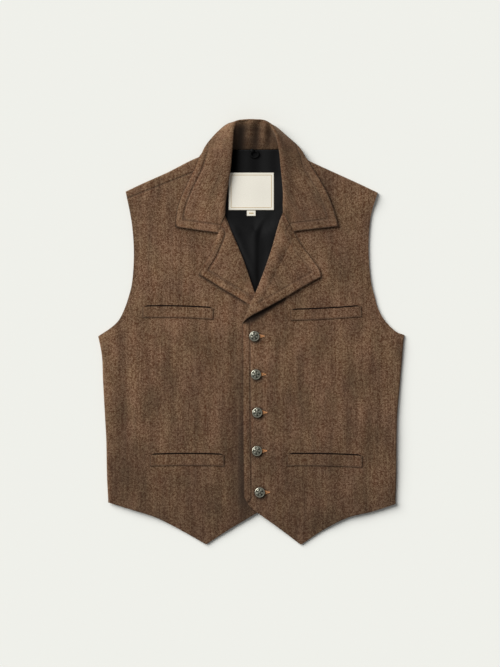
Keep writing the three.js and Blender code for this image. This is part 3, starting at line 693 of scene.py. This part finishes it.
# Columns are closest at the side seam and rows at the shoulder, where the cloth rolls down.
FRONT_COLUMNS = [0, 0.0006, 0.0018, 0.0036, 0.006, 0.009, 0.013, 0.018, 0.025] + [
    lerp(0.025, 1.0, (i + 1) / 96) for i in range(96)]
FRONT_ROWS = spaced(105, 0.0, SIDE_SHARE)[:-1] + spaced(100, SIDE_SHARE, 0.982) + [
    0.9858, 0.989, 0.9916, 0.9939, 0.9958, 0.9974, 0.9987, 0.9995, 1.0]


def front_place(side):
    cut = CUTS[side]
    shape = patch(cut["hem"], cut["shoulder"], cut["outer"], cut["inner"])

    def place(u, v):
        point = shape(u, v)
        side_distance = (point - cut["outer"](v)).length
        side_weight = 1 - smoothstep((v - SIDE_SHARE + 0.03) / 0.03)
        shoulder_distance = (point - cut["shoulder"](u)).length * 0.9
        shoulder_weight = 1 - smoothstep((u - 0.8) / 0.15)
        flat = front_top(side, point.x, point.y)
        depth = (flat - BACK_WALL - SEAM_GAP) / EDGE_ROLL
        hem_weight = smoothstep((point.y + 300) / 8)
        drop = max(roll_drop(side_distance) * side_weight * hem_weight,
                   roll_drop(shoulder_distance) * shoulder_weight)
        armhole = (1 - side_weight) * (1 - smoothstep(side_distance / 30))
        armhole *= 1 - smoothstep((v - 0.93) / 0.05)
        point.z = flat - drop * depth - ARMHOLE_DROP * armhole
        return point

    return place


SHOULDER_STITCH = [(-196.4, 239.5, 0.0), (-143.9, 260.3, 0.0)]


def front_cloth(u, v, point):
    """The grain carries on down over the rolled edges instead of stretching there."""
    down = 0.8 * (FRONT_TOP - point.z)
    return (point.x + down * max(-1.0, min(1.0, point.x / 60)),
            point.y + down * max(-1.0, min(1.0, point.y / 90)))


def front_edge(side):
    """The topstitching beside the front edge, and on the right front the row below the shoulder."""
    table = EDGE_LEFT if side == "left" else EDGE_RIGHT
    line = [Line(table).dense]
    start, end = (Vector(p) for p in SHOULDER_STITCH)
    run = (end - start).normalized()

    def edge(u, v, point):
        flat = Vector((point.x, point.y, 0.0))
        if side == "right" and point.y > 225:
            above = run.x * (flat.y - start.y) - run.y * (flat.x - start.x)
            return (TOPSTITCH - max(-40.0, min(above, 7.0)), (flat - start).dot(run))
        if abs(point.x - table[1][0]) > 30:
            return UNSTITCHED
        return nearest(line, flat)

    return edge


# Lower edge of each lapel, and how wide and how dark the painted shade under it is.
UNDER_LAPEL = {
    "right": ([(-88.7, 98.5), (-67.4, 85.8), (-45.2, 71.7), (-9.6, 50.3)], 4.5, 0.75),
    "left": ([(56.0, 57.0), (24.3, 39.6), (-4.7, 23.7)], 15.0, 0.95),
}


def front_painted_shade(side):
    """Painted shade on the right front beside the lap, where it lies in a soft trough, close under
    each lapel, in the valleys of the soft folds, and around each button on the left front."""
    table, wide, most = UNDER_LAPEL[side]
    lapel_line = [Line(table).dense]

    def painted_shade_at(u, v, point):
        flat = Vector((point.x, point.y, 0.0))
        distance = nearest(lapel_line, flat)[0] if abs(point.y - 50) < 80 else 90.0
        reach = wide * (1 - 0.55 * smoothstep((point.x - 5) / 50))
        under = most * (1 - smoothstep((distance / reach - 0.45) / 0.55))
        under = max(under, clamp01(-0.13 * fold_rise(point.x, point.y)))
        if side == "left":
            ring = min(math.hypot(point.x - x - 1.5, point.y - y + 1.5) for x, y in BUTTONS)
            return max(under, 0.7 * (1 - smoothstep((ring - 9) / 5)))
        wide_x = lerp(5.0, 12.0, smoothstep((-100 - point.y) / 120))
        beside = math.exp(-((point.x + 16) / wide_x) ** 2) if point.x < -16 else 1.0
        down = lerp(0.30, 0.82, smoothstep((-60 - point.y) / 170)) * smoothstep(-point.y / 20)
        return max(under, beside * down * (1 - 0.5 * smoothstep((-290 - point.y) / 30)))

    return painted_shade_at


front_wool = tweed("herringbone wool, fronts", stitch_at=TOPSTITCH)
fronts = {}
for side in ("right", "left"):
    mesh = cloth_grid(FRONT_COLUMNS, FRONT_ROWS, front_place(side), flip=side == "left",
                      cloth=front_cloth, edge=front_edge(side), painted_shade_at=front_painted_shade(side))
    fronts[side] = add_piece("front_panel_" + side, mesh, front_wool, "wool", "front_" + side)
    add_wall(fronts[side], WOOL)

# Lapels.
# The top of each front turned back on the roll line, with a soft roll there and a row of
# topstitching 14 mm inside its free edges.
LAPEL_ROLL = 2.2
STITCH_BAND = 0.75

# Each lapel's outline, how far its middle and its lower edge stand up and from where, the turn of
# its grain in degrees, how far its stitches pull the cloth down and how much painted shade lies in
# their groove, and how strong the painted shade along its cut edge is.
LAPELS = {
    "right": {"gorge": (-46.8, 200.6), "notch": (-58.8, 169.2),
              "outer": [(-73.6, 134.0), (-84.6, 116.0)], "tip": (-88.7, 98.5),
              "lower": [(-67.4, 85.8), (-45.2, 71.7), (-9.6, 50.3)],
              "roll": ROLL_RIGHT, "lift": 1.2, "lift_from": 76, "edge_lift": 1.8,
              "edge_from": 0.4, "turn": 28.0, "sunk": 1.1, "rim": 0.25},
    "left": {"gorge": (57.0, 204.6), "notch": (75.8, 172.2),
             "outer": [(89.6, 148.5), (104.1, 129.6), (120.0, 106.3)], "tip": (122.4, 95.5),
             "lower": [(82.3, 72.9), (53.4, 55.6), (24.3, 39.6), (-4.7, 23.7)],
             "roll": ROLL_LEFT, "lift": 2.6, "lift_from": 10, "edge_lift": 5.0,
             "edge_from": 0.0, "turn": -28.0, "sunk": 0.5, "rim": 0.5},
}
for side, cut in LAPELS.items():
    inner = Line([*cut["roll"][:-1], cut["gorge"]])
    outer = Line([cut["tip"], *reversed(cut["outer"]), cut["notch"]])
    lower = Line([cut["roll"][0], *reversed(cut["lower"]), cut["tip"]])
    gorge = Line([cut["gorge"], cut["notch"]])
    shape = patch(lower.at, gorge.at, inner.at, outer.at)
    stitched = [outer.dense, lower.dense[::-1]]

    def place_lapel(u, v):
        point = shape(u, v)
        in_from_roll = (point - inner.at(v)).length
        hump = math.sin(math.pi * clamp01(in_from_roll / 30))
        lift = cut["lift"] * hump * smoothstep((point.y - cut["lift_from"]) / 40)
        easing = 1 - 0.6 * smoothstep((u - 0.2) / 0.8)
        lift += (cut["edge_lift"] * smoothstep((u - cut["edge_from"]) / 0.25) * easing
                 * (1 - smoothstep(v / 0.6)))
        free = nearest(stitched, point)[0]
        band = STITCH_BAND * math.sin(math.pi * clamp01(free / TOPSTITCH))
        band *= smoothstep(in_from_roll / 8)
        rounded = LAPEL_ROLL - min(in_from_roll, LAPEL_ROLL)
        curl = LAPEL_ROLL - math.sqrt(LAPEL_ROLL ** 2 - rounded ** 2)
        point.z = front_top(side, point.x, point.y) + LAPEL_GAP + WOOL + lift + band - curl
        return point

    def lapel_edge(u, v, point):
        return nearest(stitched, Vector((point.x, point.y, 0.0)))

    # Each lapel's wool is a slightly lighter copy of the panels' wool (shade 1.03) as painted
    # light.
    lapel_wool = tweed("herringbone wool, lapel " + side, turn=cut["turn"], shade=1.03,
                       stitch_at=TOPSTITCH, sunk=cut["sunk"], rim_shade=cut["rim"])
    mesh = cloth_grid([t ** 1.25 for t in spaced(64)], spaced(90), place_lapel,
                      flip=side == "right", edge=lapel_edge)
    lapel = add_piece("lapel_" + side + "_cloth", mesh, lapel_wool, "wool", "lapel_" + side)
    add_wall(lapel, WOOL)

# Collar.
# Stand and fall in one folded sheet of wool: the stand rises from the neck seam to the fold, and
# the fall lies over the fronts and turns under behind the neck.

# Sections from the right end to the left: neck seam, fold, bend and outer edge, and how far the
# cloth bows up at the fold.
COLLAR = [
    ((-47.2, 203.5, 8.8), (-45.6, 204.6, 10), (-57.9, 171.6, 9.6), (-133.2, 182, 10.6), 1.4),
    ((-52.8, 222, 6.4), (-45.4, 221, 10.2), (-72, 202, 10.4), (-129, 215, 9.8), 1.8),
    ((-54, 243, 6), (-42.6, 243, 11.2), (-78, 238, 10.2), (-119, 242.6, 9), 2.1),
    ((-55, 281, 6), (-36.6, 281, 13.6), (-76, 279, 10.6), (-100.5, 281, 8.8), 2.3),
    ((-51.5, 308, 5.6), (-33.8, 312, 17.2), (-84, 311, 9.5), (-88.4, 306.6, 8), 2.3),
    ((-47.5, 317.5, 4.9), (-32.6, 326, 19.6), (-80.8, 320, 6.4), (-79.5, 312.8, 3), 2.3),
    ((-43, 319.6, 4), (-31.6, 339, 22), (-73.4, 331.2, 4.8), (-62, 321.5, 1.4), 2.3),
    ((-36, 318.8, 3.6), (-30, 355, 24), (-57.4, 348.8, 5), (-46, 327, 1.3), 2.2),
    ((-25, 318.6, 3.4), (-25, 365, 24.8), (-38.6, 362.6, 8), (-30, 328, 1.3), 2),
    ((-10, 318.6, 3.4), (-10.5, 367.8, 25.2), (-12, 365, 17), (-11, 328, 1.3), 1.9),
    ((7, 318.6, 3.4), (6, 368, 25.2), (6, 365.4, 17.5), (7, 328, 1.3), 1.9),
    ((24, 318.6, 3.4), (23.5, 366.4, 25.2), (25, 363.6, 16.5), (24, 328, 1.3), 1.9),
    ((38, 318.8, 3.4), (33.2, 360.6, 24.8), (42, 357.6, 8), (40, 328, 1.3), 2),
    ((49, 319.2, 3.6), (42, 346, 24), (61.4, 341.6, 4.8), (55, 327, 1.3), 2.2),
    ((56, 319.6, 4), (46.8, 329, 22), (79.2, 326, 4.8), (69, 320, 1.4), 2.3),
    ((60.5, 317.5, 4.9), (49.4, 316, 19.6), (87.6, 316, 6.4), (85.8, 308.9, 3), 2.3),
    ((64.5, 306, 5.6), (51, 303, 17.2), (92, 307, 9.5), (97.6, 300.2, 8), 2.3),
    ((67, 281, 6), (53.4, 278, 13.6), (88, 277, 10.6), (110, 281, 8.8), 2.3),
    ((64.5, 243, 6), (56.6, 243, 11.2), (92, 238, 10.2), (132, 243.6, 9), 2.1),
    ((62, 225, 6.4), (56.4, 223, 10.2), (88, 204, 10.4), (143, 217, 9.8), 1.8),
    ((57.9, 208.6, 8.8), (56.2, 209.4, 10), (74.9, 174.4, 9.6), (153, 183.4, 10.6), 1.4),
]
# Upright creases of the stand behind the neck: middle, half width and rise.
STAND_CREASES = [(-17, 7, -2.4), (-2, 6, 2.4), (11, 6, -2.6), (23, 6, 2.6), (33, 5, -2.2)]
COLLAR_BAND = 0.8
COLLAR_EDGE_LENGTH = 700.0
COLLAR_GRAIN_LENGTH = 760.0
SECTION_SPANS = 10


def collar_section(row):
    *corners, bow = row
    seam, fold, bend, rim = (Vector(p) for p in corners)
    points = [seam, seam.lerp(fold, 0.45), seam.lerp(fold, 0.86), fold, fold.lerp(bend, 0.14),
              fold.lerp(bend, 0.55), fold.lerp(bend, 0.94), bend, bend.lerp(rim, 0.08),
              bend.lerp(rim, 0.5), rim]
    points[2].z += bow * 0.3
    points[4].z += bow
    return Line(points)


collar_sections = [collar_section(row) for row in COLLAR]
COLLAR_ACROSS = [0, 0.4, 0.8, 1.2, 1.6, 1.9, 2.15, 2.4, 2.6, 2.8, 3, 3.2, 3.4, 3.6, 3.8, 4,
                 4.2, 4.4, 4.6, 4.8, 5, 5.2, 5.4, 5.6, 5.8, 6, 6.25, 6.5, 6.75, 7, 7.25, 7.5,
                 7.75, 8, 8.2, 8.4, 8.6, 8.8, 9, 9.2, 9.4, 9.6, 9.8, 10]
collar_lines = {}
for share in COLLAR_ACROSS:
    collar_lines[share] = Line([tuple(s.span(share / SECTION_SPANS)) for s in collar_sections])
collar_ends = [[collar_lines[a].dense[end] for a in COLLAR_ACROSS if a >= 7] for end in (0, -1)]
from_rim = {}


def rim_distance(u, v):
    """Distance from the outer edge, measured along the cloth."""
    if v not in from_rim:
        points = [collar_lines[a].span(v) for a in COLLAR_ACROSS]
        shares = {COLLAR_ACROSS[-1]: 0.0}
        for i in range(len(points) - 2, -1, -1):
            step = (points[i + 1] - points[i]).length
            shares[COLLAR_ACROSS[i]] = shares[COLLAR_ACROSS[i + 1]] + step
        from_rim[v] = shares
    return from_rim[v][u]


def collar_free(u, v, point):
    """Distance from the nearest free edge of the fall, and how far along it."""
    along, start = nearest(collar_ends, point)[::-1]
    side = rim_distance(u, v)
    return (side, v * COLLAR_EDGE_LENGTH) if side < start else (start, along)


def stand_rise(x, y):
    return sum(rise * math.exp(-((x - middle - 0.1 * (y - 345)) / wide) ** 2)
               for middle, wide, rise in STAND_CREASES)


def place_collar(u, v):
    point = collar_lines[u].span(v).copy()
    free = collar_free(u, v, point)[0]
    band = math.sin(math.pi * clamp01(free / TOPSTITCH)) * smoothstep(u - 4)
    point.z += COLLAR_BAND * band
    if u < 3 and point.y > 312:
        point.z += stand_rise(point.x, point.y) * math.sin(math.pi * u / 3.2)
    return point


def collar_edge(u, v, point):
    return collar_free(u, v, point) if u > 4 else UNSTITCHED


def collar_painted_shade(u, v, point):
    """Painted shade on the stand behind the neck below its fold, darkest to the left and in its
    creases and lighter by the neck seam at the right, and a little on the right of the fall.
    """
    inside = smoothstep((point.y - 305) / 10) * (1 - smoothstep((u - 1.5) / 1.1))
    stand_shade = lerp(0.80, 0.34, smoothstep((point.x + 34) / 70)) - 0.12 * stand_rise(point.x, point.y)
    seam_light = smoothstep((point.x - 4) / 18) * (1 - smoothstep((point.y - 322) / 8))
    shaded = 0.20 * smoothstep((point.x - 40) / 20) * smoothstep(u - 3)
    return max(clamp01(stand_shade) * inside * (1 - seam_light), shaded)


def collar_cloth(u, v, point):
    return (-rim_distance(u, v), v * COLLAR_GRAIN_LENGTH)


# The collar's wool is a lighter copy of the panels' wool (shade 1.10) as painted light, with
# painted shade along its cut edge and in its stitch groove.
collar_wool = tweed("herringbone wool, collar", shade=1.10, stitch_at=TOPSTITCH, sunk=0.9,
                    rim_shade=0.75)
collar_mesh = cloth_grid(COLLAR_ACROSS, spaced(220), place_collar, flip=True,
                         cloth=collar_cloth, edge=collar_edge, painted_shade_at=collar_painted_shade)
collar = add_piece("collar_cloth", collar_mesh, collar_wool, "wool", "collar")
add_wall(collar, WOOL, offset=0.0)

# Welt pockets.
# A narrow double strip of the wool sewn down at its ends and lower edge, with a thin near-black
# sheet along its top as painted shade in the pocket's mouth.
WELT_WALL = 0.9
MOUTH_WIDTH = 3.2
MOUTH_SHORTER = 5
MOUTH_DROP = 2.4

# Name, front, middle x and y, length, height, turn in degrees and bow of each welt.
WELTS = [
    ("welt_chest_right", "right", -127.6, 32.8, 124.0, 22.0, -1.3, 1.6),
    ("welt_chest_left", "left", 131.0, 32.3, 124.5, 21.0, 3.1, -1.0),
    ("welt_waist_right", "right", -111.6, -225.0, 130.0, 22.5, 0.0, 1.4),
    ("welt_waist_left", "left", 128.6, -225.5, 132.0, 23.0, -1.2, 1.4),
]
# Painted shade: a near-black sheet for the shade in the pocket's mouth.
mouth_material, mouth_tree, mouth_shader = new_material("pocket mouth shade")
n = Nodes(mouth_tree)
mouth_thread = n.noise(n.scaled(n.uv("UVMap"), (1.5, 1.5, 1.0)), 1.0, 3.0)
mouth_shade_colour = n.blend(mouth_thread, (0.003, 0.002, 0.0015, 1.0), (0.012, 0.007, 0.005, 1.0))
n.feed(mouth_shader.inputs["Base Color"], mouth_shade_colour)
socket(mouth_shader, "Roughness", 0.95)
socket(mouth_shader, "Specular IOR Level", 0.05)

for name, side, middle_x, middle_y, length, height, turn, bow in WELTS:
    angle = math.radians(turn)
    mouth_length = length - MOUTH_SHORTER

    def on_front(along, across, rise):
        """A place on the front, measured from the welt's middle and along its bowed length."""
        across += bow * (1 - (2 * along / length) ** 2)
        x = middle_x + along * math.cos(angle) - across * math.sin(angle)
        y = middle_y + along * math.sin(angle) + across * math.cos(angle)
        return Vector((x, y, front_top(side, x, y) + rise))

    def place_welt(u, v):
        ends = smoothstep(min(u, 1 - u) * length / 4.0)
        sewn = smoothstep(v * height / 4.0)
        puff = 0.55 * ends * sewn + 0.35 * smoothstep((v - 0.6) / 0.4) * ends
        across = (v - 0.5) * height - MOUTH_DROP * v
        return on_front((u - 0.5) * length, across, SEAM_GAP + WELT_WALL + puff)

    def welt_edge(u, v, point):
        return (min(min(u, 1 - u) * length, v * height), u * length + v * height)

    def place_mouth(u, v):
        width = MOUTH_WIDTH * min(1.0, 14 * min(u, 1 - u) + 0.3)
        across = height / 2 - MOUTH_DROP + (v - 0.2) * width
        return on_front((u - 0.5) * mouth_length, across, 0.2)

    welt_wool = tweed("herringbone wool, " + name, turn=turn * 0.5, stitch_at=1.9, sunk=0.2,
                      move=(3.0 + 2 * turn, 1.5, 0.0))
    welt = add_piece(name + "_cloth", cloth_grid(spaced(80), spaced(16), place_welt,
                                                 edge=welt_edge), welt_wool, "wool", name)
    add_wall(welt, WELT_WALL, rounding=0.3)
    mouth = add_piece(name + "_mouth", cloth_grid(spaced(60), spaced(2), place_mouth),
                      mouth_material, "satin")
    add_wall(mouth, 0.1, rounding=0.0)

# Buttons and buttonholes.
# Five domed pewter buttons with a raised rim and a plain rosette, darkened in the low places, on
# thread shanks. Tan silk thread closes the eye of each buttonhole beside its button.
BUTTON_PROFILE = [(0.0, 0.0), (2.4, 0.0), (2.4, 1.5), (7.2, 1.6), (8.6, 1.9), (9.0, 2.4),
                  (8.9, 2.9), (8.6, 3.4), (8.1, 3.8), (7.6, 3.95), (7.2, 3.8), (6.7, 3.75),
                  (5.8, 4.0), (5.0, 4.2), (4.2, 4.35), (3.4, 4.5), (2.8, 4.4), (2.3, 4.5),
                  (1.6, 4.75), (0.8, 4.9), (0.0, 4.95)]
FACE_Z = 3.0
FACE_RADIUS = 7.4
ROSETTE_INNER = 2.3
ROSETTE_OUTER = 6.9
PETALS = 5

pewter, pewter_tree, pewter_shader = new_material("antiqued pewter")
n = Nodes(pewter_tree)
pewter_spots = n.noise(n.place(), 900.0, 4.0, 0.7)
dark_share = n.math("MULTIPLY_ADD", pewter_spots, 0.3, n.attribute("patina"))
dark_share = n.spread(dark_share, 0.2, 0.95)
n.feed(pewter_shader.inputs["Base Color"],
       n.blend(dark_share, (0.43, 0.42, 0.34, 1.0), (0.024, 0.025, 0.017, 1.0)))
n.feed(pewter_shader.inputs["Roughness"], n.spread(dark_share, 0.0, 1.0, 0.24, 0.55))
socket(pewter_shader, "Metallic", 0.8)
n.relief(pewter_shader, pewter_spots, 0.08)

silk, silk_tree, silk_shader = new_material("tan buttonhole silk")
n = Nodes(silk_tree)
silk_wave = n.noise(n.place(), 2600.0, 3.0)
n.feed(silk_shader.inputs["Base Color"],
       n.blend(silk_wave, (0.42, 0.17, 0.05, 1.0), (0.72, 0.34, 0.12, 1.0)))
socket(silk_shader, "Roughness", 0.55)
socket(silk_shader, "Sheen Weight", 0.3)


def rosette(radius, angle):
    """Low relief of the button's face: five petals between the centre and the rim."""
    if not ROSETTE_INNER < radius < ROSETTE_OUTER:
        return 0.0
    band = math.sin(math.pi * (radius - ROSETTE_INNER) / (ROSETTE_OUTER - ROSETTE_INNER))
    return 0.55 * band * abs(math.cos(PETALS / 2 * angle)) - 0.30 * band


def add_rod(mesh, start, end, radius, sides=6):
    """A closed straight length of thread or cord."""
    axis = Vector(end) - Vector(start)
    made = bmesh.ops.create_cone(mesh, cap_ends=True, segments=sides, radius1=radius,
                                 radius2=radius, depth=axis.length)
    turn = Vector((0, 0, 1)).rotation_difference(axis).to_matrix()
    bmesh.ops.rotate(mesh, verts=made["verts"], cent=(0, 0, 0), matrix=turn)
    bmesh.ops.translate(mesh, verts=made["verts"], vec=(Vector(start) + Vector(end)) / 2)


def finish_small(mesh):
    """Takes a piece worked in millimetres to its place in metres."""
    for face in mesh.faces:
        face.smooth = True
    bmesh.ops.scale(mesh, verts=mesh.verts, vec=(MM, MM, MM))
    bmesh.ops.translate(mesh, verts=mesh.verts, vec=SHIFT)


for number, (x, y) in enumerate(BUTTONS, 1):
    seat = front_top("left", x, y) + SEAM_GAP
    mesh = bmesh.new()
    verts = [mesh.verts.new((r, 0.0, z)) for r, z in BUTTON_PROFILE]
    edges = [mesh.edges.new(pair) for pair in zip(verts, verts[1:])]
    bmesh.ops.spin(mesh, geom=verts + edges, cent=(0, 0, 0), axis=(0, 0, 1), dvec=(0, 0, 0),
                   angle=math.tau, steps=72, use_merge=True, use_duplicate=False)
    bmesh.ops.remove_doubles(mesh, verts=mesh.verts, dist=1e-4)
    bmesh.ops.recalc_face_normals(mesh, faces=mesh.faces)
    patina = mesh.verts.layers.float.new("patina")
    for vert in mesh.verts:
        radius = math.hypot(vert.co.x, vert.co.y)
        angle = math.atan2(vert.co.y, vert.co.x) + 0.3 * number
        raised = rosette(radius, angle) if vert.co.z > FACE_Z else 0.0
        vert[patina] = clamp01(0.62 - 1.8 * raised) if radius < FACE_RADIUS else 0.05
        if vert.co.z < FACE_Z:
            vert[patina] = 0.9
        vert.co.z += raised
    bmesh.ops.translate(mesh, verts=mesh.verts, vec=(x, y, seat))
    finish_small(mesh)
    add_piece(f"button_{number}_pewter", mesh, pewter, "pewter", f"button_{number}")

    # The buttonhole's end: slanted stitches that close in from both sides, and a bar between them.
    mesh = bmesh.new()
    top = front_top("left", x + 13, y) + 0.35
    for share in spaced(8):
        half_open = lerp(3.0, 0.2, share)
        thread_x = x + lerp(8.0, 17.0, share)
        for sign in (-1, 1):
            add_rod(mesh, (thread_x - 0.5, y + sign * (half_open - 0.9), top - 0.1),
                    (thread_x + 0.7, y + sign * (half_open + 0.6), top), 0.5)
    add_rod(mesh, (x + 8.0, y, top + 0.25), (x + 14.0, y, top + 0.25), 0.6)
    finish_small(mesh)
    add_piece(f"buttonhole_{number}_silk", mesh, silk, "wool")

# Neck label, size tab and hanger loop.
# A woven cream label with a fine gold border, left bare, with its small tab below and a black
# cord loop at the middle of the neck seam.
LABELS = {"neck_label": (LABEL_X, LABEL_Y, 79.0, 65.4), "size_tab": (0.4, 206.4, 15.5, 9.6)}
BORDER_INSET = 4.2
LABEL_WALL = 1.0
LABEL_Z = LINING_Z + SATIN + SEAM_GAP + LABEL_WALL

label_material, label_tree, label_shader = new_material("woven cream label")
n = Nodes(label_tree)
label_weft = n.noise(n.scaled(n.uv("UVMap"), (0.35, 3.2, 1.0)), 1.0, 2.0)
label_warp = n.noise(n.scaled(n.uv("UVMap"), (3.2, 0.5, 1.0)), 1.0, 2.0)
label_weave = n.math("ADD", n.math("MULTIPLY", label_weft, 0.6),
                     n.math("MULTIPLY", label_warp, 0.4))
cream = n.blend(n.spread(label_weave, 0.35, 0.65), (0.74, 0.70, 0.60, 1.0),
                (0.86, 0.83, 0.74, 1.0))
label_inset = n.parts(n.uv("Stitching"))["X"]
off_border = n.math("ABSOLUTE", n.math("SUBTRACT", label_inset, BORDER_INSET))
border = n.spread(off_border, 0.35, 0.65, 1.0, 0.0)
label_colour = n.blend(n.math("MULTIPLY", border, 0.85), cream, (0.46, 0.30, 0.09, 1.0))
hem_line = n.spread(label_inset, 0.2, 1.2, 0.55, 0.0)
n.feed(label_shader.inputs["Base Color"],
       n.blend(hem_line, label_colour, (0.40, 0.34, 0.24, 1.0)))
n.relief(label_shader, n.math("ADD", label_weave, n.math("MULTIPLY", border, 0.6)), 0.25)
socket(label_shader, "Roughness", 0.8)
socket(label_shader, "Sheen Weight", 0.1)

for name, (middle_x, middle_y, width, height) in LABELS.items():

    def place_label(u, v):
        x = middle_x + (u - 0.5) * width
        y = middle_y + (v - 0.5) * height
        wave = 0.25 * math.sin(x * 0.09 + 1.2) + 0.12 * math.sin(y * 0.13)
        return Vector((x, y, LABEL_Z + 0.35 + wave))

    def label_edge(u, v, point):
        return (min(min(u, 1 - u) * width, min(v, 1 - v) * height), 0.0)

    label = add_piece(name + "_cloth", cloth_grid(spaced(48), spaced(40), place_label,
                                                  edge=label_edge), label_material, "label", name)
    add_wall(label, 0.7, rounding=0.2)

cord_material, cord_tree, cord_shader = new_material("black loop cord")
n = Nodes(cord_tree)
cord_twist = n.noise(n.place(), 1500.0, 3.0)
n.feed(cord_shader.inputs["Base Color"],
       n.blend(cord_twist, (0.0006, 0.0006, 0.0006, 1.0), (0.0025, 0.0025, 0.0027, 1.0)))
socket(cord_shader, "Roughness", 0.6)
socket(cord_shader, "Specular IOR Level", 0.12)

LOOP_MIDDLE = Vector((6.4, 309.2, LINING_Z + SATIN + SEAM_GAP + 1.6))
LOOP_HALF_WIDTH = 6.8
LOOP_HALF_HEIGHT = 5.6
LOOP_CORD = 1.9
mesh = bmesh.new()
loop_path = []
for step in range(41):
    angle = math.radians(100 + step * 8.5)
    loop_path.append(LOOP_MIDDLE + Vector((LOOP_HALF_WIDTH * math.cos(angle),
                                           LOOP_HALF_HEIGHT * math.sin(angle),
                                           0.5 * math.sin(angle))))
for start, end in zip(loop_path, loop_path[1:]):
    add_rod(mesh, start, end, LOOP_CORD, 8)
knot = bmesh.ops.create_uvsphere(mesh, u_segments=16, v_segments=10, radius=2.6)
bmesh.ops.scale(mesh, verts=knot["verts"], vec=(1.5, 1.5, 0.7))
bmesh.ops.translate(mesh, verts=knot["verts"], vec=LOOP_MIDDLE + Vector((-4.4, 6.2, 1.2)))
finish_small(mesh)
add_piece("hanger_loop_cord", mesh, cord_material, "loop_cord", "hanger_loop")
